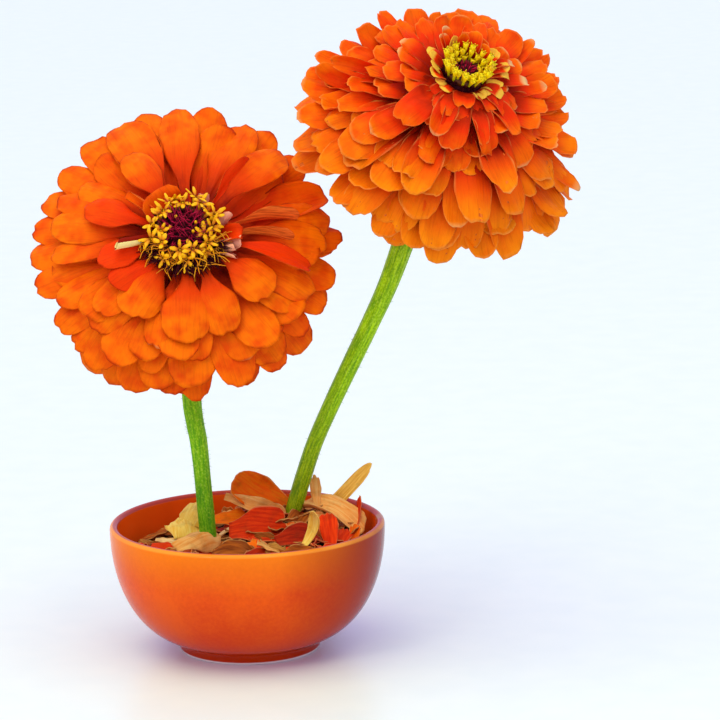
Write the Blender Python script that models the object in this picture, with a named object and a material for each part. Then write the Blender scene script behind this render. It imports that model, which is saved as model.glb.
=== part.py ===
"""Two orange zinnias standing in a small glazed bowl of dried petals.

The bowl stands on its flat foot with its centre at the origin, and +Z is up.
A block of floral foam under the dried petals holds the two cut stems.
Each flower has a stem, a green calyx, a head of ray petals, a dark disc of
scales and a ring of small florets. The two heads face forwards (-Y) and up.
"""

import math
import random

import bpy
import bmesh
from mathutils import Matrix, Vector

MM = 0.001
CLEARANCE = 0.3 * MM  # between two pieces that touch

# Bowl: a turned bowl on a short flat foot.
BOWL_RADIUS = 50.0 * MM
BOWL_HEIGHT = 47.0 * MM
LIP_RADIUS = 1.5 * MM
FOOT_RADIUS = 25.6 * MM
FOOT_HEIGHT = 3.4 * MM
FOOT_BEVEL = 0.6 * MM
FLOOR_HEIGHT = 6.0 * MM
FLOOR_RADIUS = 13.0 * MM  # the flat middle of the floor
BOWL_SIDES = 36

# Filling: foam block below, dried petals above it.
FOAM_BOTTOM = FLOOR_HEIGHT + CLEARANCE
FOAM_TOP = 29.0 * MM
HEAP_LOWEST = 36.5 * MM
# Each rise in the heap: where it is, how high it stands and how wide it is.
HEAP_RISES = ((14, 12, 8.0, 16), (2, 22, 5.0, 9), (28, 11, 3.5, 9), (12, -20, 3.0, 13))
DRIED_PETAL_THICKNESS = 0.8 * MM
STEM_FOOT_HEIGHT = 13.0 * MM

PETAL_THICKNESS = 0.7 * MM
ROOT_DEPTH = 2.2 * MM  # how far each petal runs into the head's core
GOLDEN_ANGLE = math.radians(137.50776)

# Heads. The calyx hangs below the origin of each head, on the head's own axis.
CALYX_BOTTOM = -13.0 * MM
CALYX_TOP = -3.4 * MM
CORE_BOTTOM = CALYX_TOP + CLEARANCE


# ---------------------------------------------------------------- the flowers

# Angles are in degrees and lengths in millimetres. A list gives the value from
# the innermost petal to the outermost one. "start" and "finish" are the angles
# between the petal and the head's axis, at its root and at its tip.
SHORT_FLOWER = {
    "name": "short_flower",
    "centre": (-18.0, -8.0, 150.6),
    "axis": (0.046, -0.795, 0.605),
    "petals": 68,
    "seed": 11,
    "turn": 20.0,
    "root_radius": [9.4, 9.0, 8.6],
    "root_height": [4.0, 1.2, -1.6],
    "length": [25.0, 31.5, 38.5, 45.0, 50.5, 53.5],
    "width": [13.0, 15.5, 16.5, 17.0, 17.0],
    "start": [58.0, 60.0, 63.0, 67.0, 72.0, 76.0],
    "finish": [84.0, 90.0, 99.0, 115.0, 137.0, 156.0],
    "core_radius": 9.8,
    "core_height": 8.0,
    "disc_radius": 7.4,
    "disc_height": 5.6,
    "disc_spikes": 24,
    "stem": [
        (-11.8, -5.6, 13.0),
        (-13.8, -5.0, 38.3),
        (-15.7, -3.2, 63.4),
        (-17.0, -1.2, 77.9),
        (-18.9, 1.4, 90.0),
        (-19.4, 4.6, 113.0),
    ],
    "stem_radius": [2.6, 2.8, 3.4, 3.6],
}

TALL_FLOWER = {
    "name": "tall_flower",
    "centre": (76.0, -5.0, 197.2),
    "axis": (0.267, -0.564, 0.782),
    "petals": 93,
    "seed": 5,
    "turn": 0.0,
    "root_radius": [6.6, 7.2, 7.9, 8.6],
    "root_height": [14.5, 9.0, 3.5, -1.6],
    "length": [13.0, 19.0, 27.0, 36.5, 46.0, 54.0, 56.5],
    "width": [7.0, 10.0, 12.5, 14.5, 15.5],
    "start": [26.0, 40.0, 52.0, 61.0, 68.0, 73.0, 76.0],
    "finish": [54.0, 82.0, 105.0, 125.0, 144.0, 162.0, 170.0],
    "core_radius": 7.2,
    "core_height": 16.0,
    "disc_radius": 4.2,
    "disc_height": 4.0,
    "disc_spikes": 14,
    "stem": [
        (5.4, 15.4, 13.0),
        (16.0, 13.0, 45.4),
        (25.1, 10.6, 73.6),
        (38.7, 7.9, 103.0),
        (52.9, 6.0, 133.0),
        (64.4, 5.6, 165.0),
    ],
    "stem_radius": [2.6, 2.7, 3.1, 4.0, 4.2],
}

FLOWERS = (SHORT_FLOWER, TALL_FLOWER)


# ------------------------------------------------------------------- helpers


def clear_scene():
    for obj in list(bpy.data.objects):
        bpy.data.objects.remove(obj, do_unlink=True)


def make_material(name, colour, roughness):
    material = bpy.data.materials.new(name)
    material.use_nodes = True
    shader = material.node_tree.nodes["Principled BSDF"]
    shader.inputs["Base Color"].default_value = (*colour, 1.0)
    shader.inputs["Roughness"].default_value = roughness
    shader.inputs["Metallic"].default_value = 0.0
    material.diffuse_color = (*colour, 1.0)
    return material


def ramp(share, stops):
    """The value at this share of the way along evenly spaced stops."""
    place = min(max(share, 0.0), 1.0) * (len(stops) - 1)
    index = min(int(place), len(stops) - 2)
    return stops[index] + (stops[index + 1] - stops[index]) * (place - index)


def mesh_object(name, points, faces, material=None):
    """A closed mesh with its faces turned outwards, linked to the scene."""
    mesh = bpy.data.meshes.new(name)
    shape = bmesh.new()
    corners = [shape.verts.new(point) for point in points]
    for face in faces:
        shape.faces.new([corners[index] for index in face])
    bmesh.ops.recalc_face_normals(shape, faces=shape.faces)
    shape.to_mesh(mesh)
    shape.free()
    if material:
        mesh.materials.append(material)
    obj = bpy.data.objects.new(name, mesh)
    bpy.context.scene.collection.objects.link(obj)
    return obj


def turned(name, profile, sides, material=None):
    """A profile of (radius, height) points turned about Z. A profile that
    starts and ends on the axis is closed there; any other one is a ring."""
    points, faces, rings = [], [], []
    for radius, height in profile:
        if radius < 1e-6:
            rings.append([len(points)] * sides)
            points.append((0.0, 0.0, height))
            continue
        rings.append([len(points) + side for side in range(sides)])
        for side in range(sides):
            angle = 2.0 * math.pi * side / sides
            points.append((radius * math.cos(angle), radius * math.sin(angle), height))
    solid = profile[0][0] < 1e-6
    spans = list(zip(rings, rings[1:])) if solid else list(zip(rings, rings[1:] + rings[:1]))
    for lower, upper in spans:
        for side in range(sides):
            following = (side + 1) % sides
            corners = [lower[side], lower[following], upper[following], upper[side]]
            faces.append(list(dict.fromkeys(corners)))
    return mesh_object(name, points, faces, material)


def shade(obj, angle=40.0):
    obj.data.shade_smooth()
    obj.data.set_sharp_from_angle(angle=math.radians(angle))


def boolean(obj, operation, others):
    """Joins the other meshes to obj, or cuts them from it, and removes them."""
    tools = bpy.data.collections.new("tools")
    bpy.context.scene.collection.children.link(tools)
    for other in others:
        tools.objects.link(other)
    modifier = obj.modifiers.new(operation.title(), "BOOLEAN")
    modifier.operation = operation
    modifier.operand_type = "COLLECTION"
    modifier.collection = tools
    modifier.solver = "EXACT"
    graph = bpy.context.evaluated_depsgraph_get()
    joined = bpy.data.meshes.new_from_object(obj.evaluated_get(graph))
    obj.modifiers.clear()
    obj.data = joined
    for other in others:
        bpy.data.objects.remove(other, do_unlink=True)
    bpy.data.collections.remove(tools)
    return obj


def smooth_route(points, steps):
    """Points along a Catmull-Rom curve through the given ones."""
    route = [Vector(point) for point in points]
    ends = [2 * route[0] - route[1], *route, 2 * route[-1] - route[-2]]
    found = []
    for before, first, second, after in zip(ends, ends[1:], ends[2:], ends[3:]):
        for step in range(steps):
            t = step / steps
            found.append(
                0.5
                * (
                    2 * first
                    + (second - before) * t
                    + (2 * before - 5 * first + 4 * second - after) * t**2
                    + (3 * first - before - 3 * second + after) * t**3
                )
            )
    return found + [route[-1]]


# ---------------------------------------------------------------------- bowl


def bezier(start, first, second, end, steps):
    """Points of a cubic curve, without its last one."""
    found = []
    for step in range(steps):
        t = step / steps
        weights = ((1 - t) ** 3, 3 * t * (1 - t) ** 2, 3 * t**2 * (1 - t), t**3)
        found.append(
            tuple(
                sum(weight * point[axis] for weight, point in zip(weights, (start, first, second, end)))
                for axis in (0, 1)
            )
        )
    return found


def bowl_outside(steps):
    return bezier(
        (FOOT_RADIUS + 0.6 * MM, FOOT_HEIGHT),
        (BOWL_RADIUS * 0.83, FOOT_HEIGHT + 5.5 * MM),
        (BOWL_RADIUS, BOWL_HEIGHT * 0.54),
        (BOWL_RADIUS, BOWL_HEIGHT - LIP_RADIUS),
        steps,
    )


def bowl_inside(inset=0.0, steps=7):
    """From the edge of the flat floor up to the lip, set in by inset."""
    inner = BOWL_RADIUS - 2 * LIP_RADIUS - inset
    return bezier(
        (FLOOR_RADIUS, FLOOR_HEIGHT + inset),
        (BOWL_RADIUS * 0.76 - inset, FLOOR_HEIGHT + inset),
        (inner - 0.6 * MM, BOWL_HEIGHT * 0.44),
        (inner, BOWL_HEIGHT - LIP_RADIUS),
        steps,
    )


def inside_radius(height, inset):
    """How wide the hollow is at a height, less the inset."""
    below = [point for point in bowl_inside(inset, 40) if point[1] <= height]
    return below[-1][0]


def make_bowl(material):
    lip = [
        (
            BOWL_RADIUS - LIP_RADIUS + LIP_RADIUS * math.cos(angle),
            BOWL_HEIGHT - LIP_RADIUS + LIP_RADIUS * math.sin(angle),
        )
        for angle in (math.pi * step / 4 for step in range(4))
    ]
    foot = [(0.0, 0.0), (FOOT_RADIUS - FOOT_BEVEL, 0.0), (FOOT_RADIUS, FOOT_BEVEL)]
    inside = bowl_inside() + [(BOWL_RADIUS - 2 * LIP_RADIUS, BOWL_HEIGHT - LIP_RADIUS)]
    profile = foot + bowl_outside(6) + lip + inside[::-1] + [(0.0, FLOOR_HEIGHT)]
    bowl = turned("bowl", profile, BOWL_SIDES, material)
    shade(bowl, 50.0)
    return bowl


# --------------------------------------------------------------------- stems


def head_matrix(flower):
    """X to the head's own right, Y up its face and Z out along its axis."""
    out = Vector(flower["axis"]).normalized()
    right = Vector((0, 0, 1)).cross(out).normalized()
    up = out.cross(right)
    turn = Matrix((right, up, out)).transposed().to_4x4()
    return Matrix.Translation(Vector(flower["centre"]) * MM) @ turn


def stem_route(flower, steps=2):
    """From the cut end in the foam to the calyx, met along the head's axis."""
    place = head_matrix(flower)
    low = [Vector(point) * MM for point in flower["stem"]]
    joint = CALYX_BOTTOM - CLEARANCE
    neck = place @ Vector((0, 0, joint - 7.0 * MM))
    shoulder = place @ Vector((0, 0, joint - 1.5 * MM))
    top = place @ Vector((0, 0, joint))
    return [*smooth_route([*low, neck, shoulder], steps), top]


def stem_thickness(flower, share):
    return ramp(share, flower["stem_radius"]) * MM


def tube(name, route, radii, sides, material=None):
    """A closed tube along a route, its rings square to the route."""
    points, faces = [], []
    across = Vector((1.0, 0.0, 0.0))
    for index, centre in enumerate(route):
        ahead = route[min(index + 1, len(route) - 1)] - route[max(index - 1, 0)]
        ahead.normalize()
        across = (across - ahead * across.dot(ahead)).normalized()
        beside = ahead.cross(across)
        for side in range(sides):
            angle = 2.0 * math.pi * side / sides
            offset = across * math.cos(angle) + beside * math.sin(angle)
            points.append(centre + offset * radii[index])
    for ring in range(len(route) - 1):
        for side in range(sides):
            following = (side + 1) % sides
            start, end = ring * sides, (ring + 1) * sides
            faces.append([start + side, start + following, end + following, end + side])
    faces.append(list(range(sides))[::-1])
    faces.append([(len(route) - 1) * sides + side for side in range(sides)])
    return mesh_object(name, points, faces, material)


def make_stem(flower, material):
    route = stem_route(flower)
    radii = [stem_thickness(flower, i / (len(route) - 1)) for i in range(len(route))]
    stem = tube(flower["name"] + "_stem", route, radii, 9, material)
    shade(stem, 50.0)
    return stem


def stem_hole(flower, floor):
    """A cutter a little wider than the stem, from floor up past the rim."""
    route = [point for point in stem_route(flower) if point.z < 75 * MM]
    route[0] = route[0] + (route[0] - route[1]).normalized() * (route[0].z - floor)
    widest = stem_thickness(flower, 0.4)
    return tube("hole", route, [widest + 1.5 * CLEARANCE] * len(route), 9)


# ------------------------------------------------------------------- filling


def make_foam(material):
    """A block pressed into the bowl, with a blind hole for each stem."""
    side = [point for point in bowl_inside(0.8 * MM)[1:] if point[1] < FOAM_TOP - 2.0 * MM]
    profile = [(0.0, FOAM_BOTTOM), (FLOOR_RADIUS - 1.0 * MM, FOAM_BOTTOM), *side]
    profile += [(inside_radius(FOAM_TOP, 1.0 * MM), FOAM_TOP), (0.0, FOAM_TOP)]
    foam = turned("floral_foam", profile, BOWL_SIDES // 2, material)
    floor = STEM_FOOT_HEIGHT - CLEARANCE
    return boolean(foam, "DIFFERENCE", [stem_hole(flower, floor) for flower in FLOWERS])


# A dried petal has its centre, length and width, the way it points round the
# bowl (degrees from +X), how steeply it rises, its roll and how far it curls.
DRIED_PETALS = {
    "big_orange": (1.4, 21.0, 51.5, 25, 18, -4, 16, 42, -46),
    "tan_strip": (0.6, 16.0, 50.4, 23, 7, -17, 2, 55, -30),
    "orange_behind_stem": (-6.5, 9.0, 46.0, 15, 9, 0, 6, 35, -30),
    "cream_stick": (-7.8, 4.2, 43.0, 15, 3.0, 40, 26, 0, -10),
    "ochre_back": (-20.0, 14.0, 44.6, 16, 10, 15, 42, 15, -90),
    "ochre_front": (-22.4, 5.0, 43.0, 14, 10, 75, 52, 0, -100),
    "tan_front_left": (-21.5, -11.5, 41.4, 20, 10, 33, 24, 30, -34),
    "cream_strip": (-31.0, 1.0, 37.9, 9, 3, -20, 4, 35, -20),
    "red_strip": (-31.0, -5.0, 37.5, 11, 4, -25, 4, 35, -20),
    "red_wing": (2.0, -2.6, 45.0, 19, 14, -5, 10, 42, -28),
    "red_tail": (4.6, -12.5, 42.0, 16, 4.4, -60, -6, 10, -20),
    "red_foot": (-14.5, -27.5, 39.4, 10, 6, 0, 16, 25, -40),
    "brown_scroll": (-3.9, -27.5, 41.8, 17, 9, 0, 32, 30, -80),
    "grey_brown": (7.6, -19.5, 42.4, 12, 7, -35, 28, 22, -60),
    "brown_flat": (16.7, -26.0, 40.6, 17, 9, 8, 12, 26, -26),
    "dark_red": (17.9, -11.5, 43.8, 17, 11, 20, 8, 36, -20),
    "twig": (15.6, 4.0, 46.0, 10, 3.6, 5, 8, 0, -24),
    "yellow_curl": (20.6, -13.0, 43.4, 18, 6, 0, -6, 20, 100),
    "red_block": (30.0, -10.6, 44.6, 15, 7.6, 100, 66, 0, -24),
    "red_chunk": (34.6, -7.0, 42.6, 10, 6.4, 60, 46, 20, -40),
    "bottom_red": (29.0, -19.5, 39.9, 11, 7, 20, 14, 25, -30),
    "tan_arch": (27.5, 10.5, 51.8, 31, 12, -40, 18, 15, -70),
    "tan_spike": (26.8, 15.0, 52.4, 13, 3.6, 100, 64, 0, 20),
    "tan_under_arch": (22.4, 8.0, 46.2, 12, 7, -30, 12, 32, -30),
    "quill": (36.0, 16.0, 53.2, 23, 4.8, 0, 50, 10, 10),
    "red_edge": (40.2, 8.0, 45.6, 15, 4.4, 20, 76, 0, 10),
    "orange_bit": (39.0, -4.0, 41.8, 8, 4, 80, 50, 0, 10),
}


def blade_points(length, width, bend, stations, cross=(-1.0, 1.0)):
    """Rows of points across a petal that runs along X and bends towards +Z."""
    rows = []
    for share in stations:
        half = 0.5 * width * blade_width(share, 0.45)
        angle = math.radians(bend) * share
        radius = length / math.radians(bend) if abs(bend) > 1 else None
        if radius:
            along, rise = radius * math.sin(angle), radius * (1 - math.cos(angle))
        else:
            along, rise = length * share, 0.0
        rows.append([(along - 0.45 * length, side * half, rise) for side in cross])
    return rows


def blade_width(share, root):
    """A spoon-shaped petal's width at a share of its length: narrow at the
    root, widest two thirds of the way along and round at the tip."""
    widest = 0.68
    if share < widest:
        t = share / widest
        return root + (1.0 - root) * t * t * (3.0 - 2.0 * t)
    t = (share - widest) / (1.0 - widest)
    return math.sqrt(max(1.0 - t**2.3, 0.0))


def slab(name, rows, normals, thickness):
    """A thin closed blade from rows of points and the normal of each row.
    Both faces are split into triangles the same way."""
    half = 0.5 * thickness
    points, faces = [], []
    for sign in (half, -half):
        for row, normal in zip(rows, normals):
            points += [Vector(point) + Vector(normal) * sign for point in row]
    across, along = len(rows[0]), len(rows)
    size = across * along
    for layer in (0, size):
        for i in range(along - 1):
            for j in range(across - 1):
                a = layer + i * across + j
                b, c, d = a + 1, a + across + 1, a + across
                faces += [[a, b, c], [a, c, d]]
    edge = [j for j in range(across)]
    edge += [i * across + across - 1 for i in range(1, along)]
    edge += [(along - 1) * across + j for j in range(across - 2, -1, -1)]
    edge += [i * across for i in range(along - 2, 0, -1)]
    for a, b in zip(edge, edge[1:] + edge[:1]):
        faces.append([a, b, b + size, a + size])
    return mesh_object(name, points, faces)


def row_normals(rows):
    found = []
    for index, row in enumerate(rows):
        ahead = Vector(rows[min(index + 1, len(rows) - 1)][0]) - Vector(rows[max(index - 1, 0)][0])
        beside = Vector(row[-1]) - Vector(row[0])
        found.append(ahead.cross(beside).normalized())
    return found


def dried_petal(x, y, z, length, width, heading, rise, roll, bend):
    rows = blade_points(length * MM, width * MM, bend, (0.0, 0.35, 0.7, 0.95))
    piece = slab("dried", rows, row_normals(rows), DRIED_PETAL_THICKNESS)
    turn = (
        Matrix.Rotation(math.radians(heading), 4, "Z")
        @ Matrix.Rotation(-math.radians(rise), 4, "Y")
        @ Matrix.Rotation(math.radians(roll), 4, "X")
    )
    piece.data.transform(Matrix.Translation(Vector((x, y, z)) * MM) @ turn)
    return piece


def heap_height(x, y):
    """How high the mass of the heap stands at a place in the bowl."""
    rise = 0.0
    for across, back, height, spread in HEAP_RISES:
        gap = (x / MM - across) ** 2 + (y / MM - back) ** 2
        rise += height * MM * math.exp(-gap / (2.0 * spread**2))
    return HEAP_LOWEST + rise


def scattered_petals(count, seed):
    """Small dried petals strewn over the heap in an even spiral."""
    draw = random.Random(seed)
    for index in range(count):
        radius = 34.0 * math.sqrt((index + 0.5) / count)
        angle = index * GOLDEN_ANGLE + 1.0
        x, y = radius * math.cos(angle), radius * math.sin(angle)
        yield (
            x,
            y,
            heap_height(x * MM, y * MM) / MM + draw.uniform(0.0, 1.2),
            draw.uniform(12.0, 18.0),
            draw.uniform(6.0, 10.0),
            draw.uniform(0.0, 360.0),
            draw.uniform(-10.0, 16.0),
            draw.uniform(-20.0, 20.0),
            draw.uniform(-60.0, 30.0),
        )


def make_dried_petals(material):
    """A heap of dried petals, its own mass fused with those on top."""
    base = FOAM_TOP + CLEARANCE
    low_edge = inside_radius(base, 1.0 * MM)
    high_edge = inside_radius(HEAP_LOWEST - 3.0 * MM, 1.0 * MM)
    profile = [(0.0, base), (low_edge, base), (high_edge, HEAP_LOWEST - 3.0 * MM)]
    profile += [(high_edge * share, HEAP_LOWEST) for share in (0.94, 0.7, 0.45, 0.2)]
    heap = turned("dried_petals", [*profile, (0.0, HEAP_LOWEST)], BOWL_SIDES // 2, material)
    for corner in heap.data.vertices:
        if corner.co.z > HEAP_LOWEST - 1.0 * MM:
            corner.co.z = heap_height(corner.co.x, corner.co.y)
    pieces = [dried_petal(*values) for values in DRIED_PETALS.values()]
    pieces += [dried_petal(*values) for values in scattered_petals(10, 3)]
    boolean(heap, "UNION", pieces)
    floor = FOAM_TOP - 5.0 * MM
    return boolean(heap, "DIFFERENCE", [stem_hole(flower, floor) for flower in FLOWERS])


# --------------------------------------------------------------------- heads


def petal_list(flower):
    """One entry for each ray petal, from the middle of the head outwards.
    Each one stands a golden angle on from the last, as they grow."""
    draw = random.Random(flower["seed"])
    petals = []
    for index in range(flower["petals"]):
        share = (index + 0.5) / flower["petals"]
        petals.append(
            {
                "share": share,
                "angle": index * GOLDEN_ANGLE
                + math.radians(flower["turn"] + draw.uniform(-5.0, 5.0)),
                "root_radius": ramp(share, flower["root_radius"]) * MM,
                "root_height": ramp(share, flower["root_height"]) * MM,
                "length": ramp(share, flower["length"]) * MM * draw.uniform(0.93, 1.06),
                "width": ramp(share, flower["width"]) * MM * draw.uniform(0.9, 1.1),
                "start": math.radians(ramp(share, flower["start"]) + draw.uniform(-2.0, 2.0)),
                "finish": math.radians(ramp(share, flower["finish"]) + draw.uniform(-4.0, 4.0)),
                "roll": math.radians(draw.uniform(-5.0, 5.0)),
                "sway": math.radians(draw.uniform(-5.0, 5.0)),
            }
        )
    return petals


def petal_spine(petal, share):
    """The place and direction of a petal's middle line: how far out, how far
    up the axis, and its angle to the axis, at a share of its length."""
    start, finish = petal["start"], petal["finish"]
    angle = start + (finish - start) * share
    rate = (finish - start) / petal["length"]
    out = petal["root_radius"] + (math.cos(start) - math.cos(angle)) / rate
    up = petal["root_height"] + (math.sin(angle) - math.sin(start)) / rate
    return out, up, angle


def ray_petal(petal):
    """A petal as a bent blade, its root sunk in the head's core."""
    rows, normals = [], []
    outward = Vector((math.sin(petal["angle"]), math.cos(petal["angle"]), 0.0))
    beside = Vector((outward.y, -outward.x, 0.0))
    axis = Vector((0.0, 0.0, 1.0))
    sunk = -ROOT_DEPTH / petal["length"]
    for share in (sunk, 0.42, 0.74, 0.91, 0.985):
        out, up, angle = petal_spine(petal, share)
        half = 0.5 * petal["width"] * blade_width(max(share, 0.0), 0.16)
        swing = petal["sway"] * share * petal["length"]
        centre = outward * out + axis * up + beside * swing
        normal = axis * math.sin(angle) - outward * math.cos(angle)
        roll = petal["roll"] * share
        side = beside * math.cos(roll) + normal * math.sin(roll)
        rows.append([centre - side * half, centre + side * half])
        normals.append((normal * math.cos(roll) - beside * math.sin(roll)).normalized())
    return slab("petal", rows, normals, PETAL_THICKNESS)


def make_petals(flower, material):
    """All the ray petals of a head, grown from its core."""
    low = flower["root_radius"][-1] * MM - 0.2 * MM
    high = flower["core_radius"] * MM
    top = flower["core_height"] * MM
    core = turned(
        flower["name"] + "_petals",
        [(0.0, CORE_BOTTOM), (low, CORE_BOTTOM), (high, top), (0.0, top)],
        10,
        material,
    )
    boolean(core, "UNION", [ray_petal(petal) for petal in petal_list(flower)])
    core.data.transform(head_matrix(flower))
    return core


def make_calyx(flower, material):
    """The green cup below the petals, covered in rows of short scales."""
    bottom = stem_thickness(flower, 1.0)
    profile = [
        (0.0, CALYX_BOTTOM),
        (bottom, CALYX_BOTTOM),
        (7.4 * MM, -11.2 * MM),
        (9.8 * MM, -8.0 * MM),
        (10.3 * MM, -4.6 * MM),
        (9.6 * MM, CALYX_TOP),
        (0.0, CALYX_TOP),
    ]
    cup = turned(flower["name"] + "_calyx", profile, 14, material)
    scales = []
    for row, (height, radius, lean) in enumerate(((-10.6, 7.6, 38.0), (-7.6, 9.6, 12.0))):
        for index in range(6):
            angle = math.radians(60.0 * index + 30.0 * row)
            blade = blade_points(5.6 * MM, 8.0 * MM, -30.0, (0.1, 0.6, 0.92))
            scale = slab("scale", blade, row_normals(blade), 0.9 * MM)
            place = (
                Matrix.Rotation(angle, 4, "Z")
                @ Matrix.Translation(Vector((radius, 0.0, height)) * MM)
                @ Matrix.Rotation(-math.radians(90.0 - lean), 4, "Y")
            )
            scale.data.transform(place)
            scales.append(scale)
    boolean(cup, "UNION", scales)
    cup.data.transform(head_matrix(flower))
    return cup


def spike(base, tip, radius, sides=3):
    """A slim pyramid from base to tip."""
    ahead = (tip - base).normalized()
    across = ahead.orthogonal().normalized()
    beside = ahead.cross(across)
    points = [
        base + (across * math.cos(a) + beside * math.sin(a)) * radius
        for a in (2.0 * math.pi * side / sides for side in range(sides))
    ]
    faces = [[side, (side + 1) % sides, sides] for side in range(sides)]
    return mesh_object("spike", [*points, tip], [*faces, list(range(sides))[::-1]])


def make_disc(flower, material):
    """The dark middle: a low dome set with pointed scales in a spiral."""
    radius = flower["disc_radius"] * MM
    bottom = flower["core_height"] * MM + CLEARANCE
    height = flower["disc_height"] * MM
    steps = 4
    dome = [
        (
            radius * math.cos(0.5 * math.pi * step / steps),
            bottom + 0.6 * MM + (height - 0.6 * MM) * math.sin(0.5 * math.pi * step / steps),
        )
        for step in range(steps)
    ]
    profile = [(0.0, bottom), (radius, bottom), *dome, (0.0, bottom + height)]
    disc = turned(flower["name"] + "_disc", profile, 12, material)
    spikes = []
    count = flower["disc_spikes"]
    for index in range(count):
        share = math.sqrt((index + 0.5) / count)
        angle = index * GOLDEN_ANGLE
        lean = share * 0.3 * math.pi
        out = Vector((math.cos(angle) * math.sin(lean), math.sin(angle) * math.sin(lean), math.cos(lean)))
        root = Vector((out.x * radius * 0.8, out.y * radius * 0.8, bottom + out.z * height * 0.75))
        spikes.append(spike(root, root + out * 0.4 * radius, 0.14 * radius))
    boolean(disc, "UNION", spikes)
    disc.data.transform(head_matrix(flower))
    return disc


def star_floret(root, direction, length, radius, turn):
    """A floret that widens from a narrow root to an open five-lobed star."""
    lobes = 5
    across = direction.orthogonal().normalized()
    beside = direction.cross(across)
    top = root + direction * length

    def corner(centre, reach, step):
        angle = turn + math.pi * step / lobes
        return centre + (across * math.cos(angle) + beside * math.sin(angle)) * reach

    points = [corner(root, 0.8 * MM, 2 * lobe + 1) for lobe in range(lobes)]
    points += [corner(top, radius if step % 2 == 0 else 0.4 * radius, step) for step in range(2 * lobes)]
    points.append(top - direction * 0.6 * MM)
    faces = [list(range(lobes))[::-1]]
    for lobe in range(lobes):
        low, low_before = lobe, (lobe - 1) % lobes
        tip, notch = lobes + 2 * lobe, lobes + 2 * lobe + 1
        notch_before = lobes + (2 * lobe - 1) % (2 * lobes)
        faces += [[low_before, low, tip], [low, notch, tip], [low_before, tip, notch_before]]
        faces += [[tip, notch, 3 * lobes], [notch_before, tip, 3 * lobes]]
    return mesh_object("floret", points, faces)


def make_star_florets(flower, material):
    """A ring of yellow florets, each an open star on a short tube."""
    inner = (flower["disc_radius"] + 0.6) * MM
    bottom = flower["core_height"] * MM + CLEARANCE
    outer = flower["core_radius"] * MM
    profile = [
        (inner, bottom),
        (outer, bottom),
        (outer - 0.2 * MM, bottom + 1.6 * MM),
        (inner, bottom + 1.6 * MM),
    ]
    ring = turned(flower["name"] + "_florets", profile, 16, material)
    count = 13
    pieces = []
    draw = random.Random(flower["seed"] + 40)
    for index in range(count):
        angle = 2.0 * math.pi * (index + draw.uniform(-0.15, 0.15)) / count
        lean = math.radians(draw.uniform(24.0, 42.0))
        outward = Vector((math.cos(angle), math.sin(angle), 0.0))
        direction = outward * math.sin(lean) + Vector((0, 0, 1)) * math.cos(lean)
        root = outward * 0.5 * (inner + outer) + Vector((0, 0, bottom + 0.5 * MM))
        length = draw.uniform(4.4, 6.2) * MM
        pieces.append(star_floret(root, direction, length, 3.5 * MM, draw.uniform(0.0, math.pi)))
    boolean(ring, "UNION", pieces)
    ring.data.transform(head_matrix(flower))
    return ring


def make_tube_florets(flower, material):
    """A crown of narrow tubes round the disc, the outer ones longer."""
    inner = (flower["disc_radius"] + 0.4) * MM
    bottom = flower["core_height"] * MM + CLEARANCE
    outer = flower["core_radius"] * MM
    profile = [
        (inner, bottom),
        (outer, bottom),
        (outer - 0.2 * MM, bottom + 1.6 * MM),
        (inner, bottom + 2.2 * MM),
    ]
    ring = turned(flower["name"] + "_florets", profile, 16, material)
    pieces = []
    draw = random.Random(flower["seed"] + 40)
    for count, place, reach, lean in ((9, 0.2, 4.4, 2.0), (13, 0.75, 7.4, 12.0)):
        for index in range(count):
            angle = 2.0 * math.pi * (index + 0.5 * place + draw.uniform(-0.12, 0.12)) / count
            outward = Vector((math.cos(angle), math.sin(angle), 0.0))
            tilt = math.radians(lean + draw.uniform(-4.0, 4.0))
            direction = outward * math.sin(tilt) + Vector((0, 0, 1)) * math.cos(tilt)
            root = outward * (inner + place * (outer - inner)) + Vector((0, 0, bottom + 0.6 * MM))
            top = root + direction * reach * draw.uniform(0.85, 1.1) * MM
            pieces.append(tube("floret_tube", [root, top], [0.6 * MM, 1.05 * MM], 4))
    boolean(ring, "UNION", pieces)
    ring.data.transform(head_matrix(flower))
    return ring


# ---------------------------------------------------------------------- build


def main():
    clear_scene()
    glaze = make_material("orange_glaze", (0.72, 0.15, 0.03), 0.22)
    foam = make_material("floral_foam", (0.12, 0.2, 0.08), 0.95)
    dried = make_material("dried_petal", (0.55, 0.22, 0.06), 0.8)
    green = make_material("green_stem", (0.16, 0.3, 0.03), 0.55)
    calyx = make_material("green_calyx", (0.12, 0.24, 0.04), 0.6)
    orange = make_material("orange_petal", (0.85, 0.14, 0.01), 0.55)
    deep_orange = make_material("deep_orange_petal", (0.8, 0.09, 0.01), 0.55)
    maroon = make_material("maroon_disc", (0.12, 0.01, 0.02), 0.6)
    yellow = make_material("yellow_floret", (0.9, 0.55, 0.02), 0.5)
    lime = make_material("lime_floret", (0.75, 0.6, 0.04), 0.5)

    make_bowl(glaze)
    make_foam(foam)
    make_dried_petals(dried)
    for flower in FLOWERS:
        make_stem(flower, green)
        make_calyx(flower, calyx)
    make_petals(SHORT_FLOWER, orange)
    make_petals(TALL_FLOWER, deep_orange)
    for flower in FLOWERS:
        make_disc(flower, maroon)
    make_star_florets(SHORT_FLOWER, yellow)
    make_tube_florets(TALL_FLOWER, lime)


main()
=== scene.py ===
# Two orange zinnias standing in a small glazed bowl of dried petals.
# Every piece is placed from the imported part's own nodes, in metres, with +Z up
# and the flowers facing forwards (-Y).

import math
import random
from functools import partial

import bmesh
import bpy
import numpy as np
from mathutils import Matrix, Vector


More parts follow.
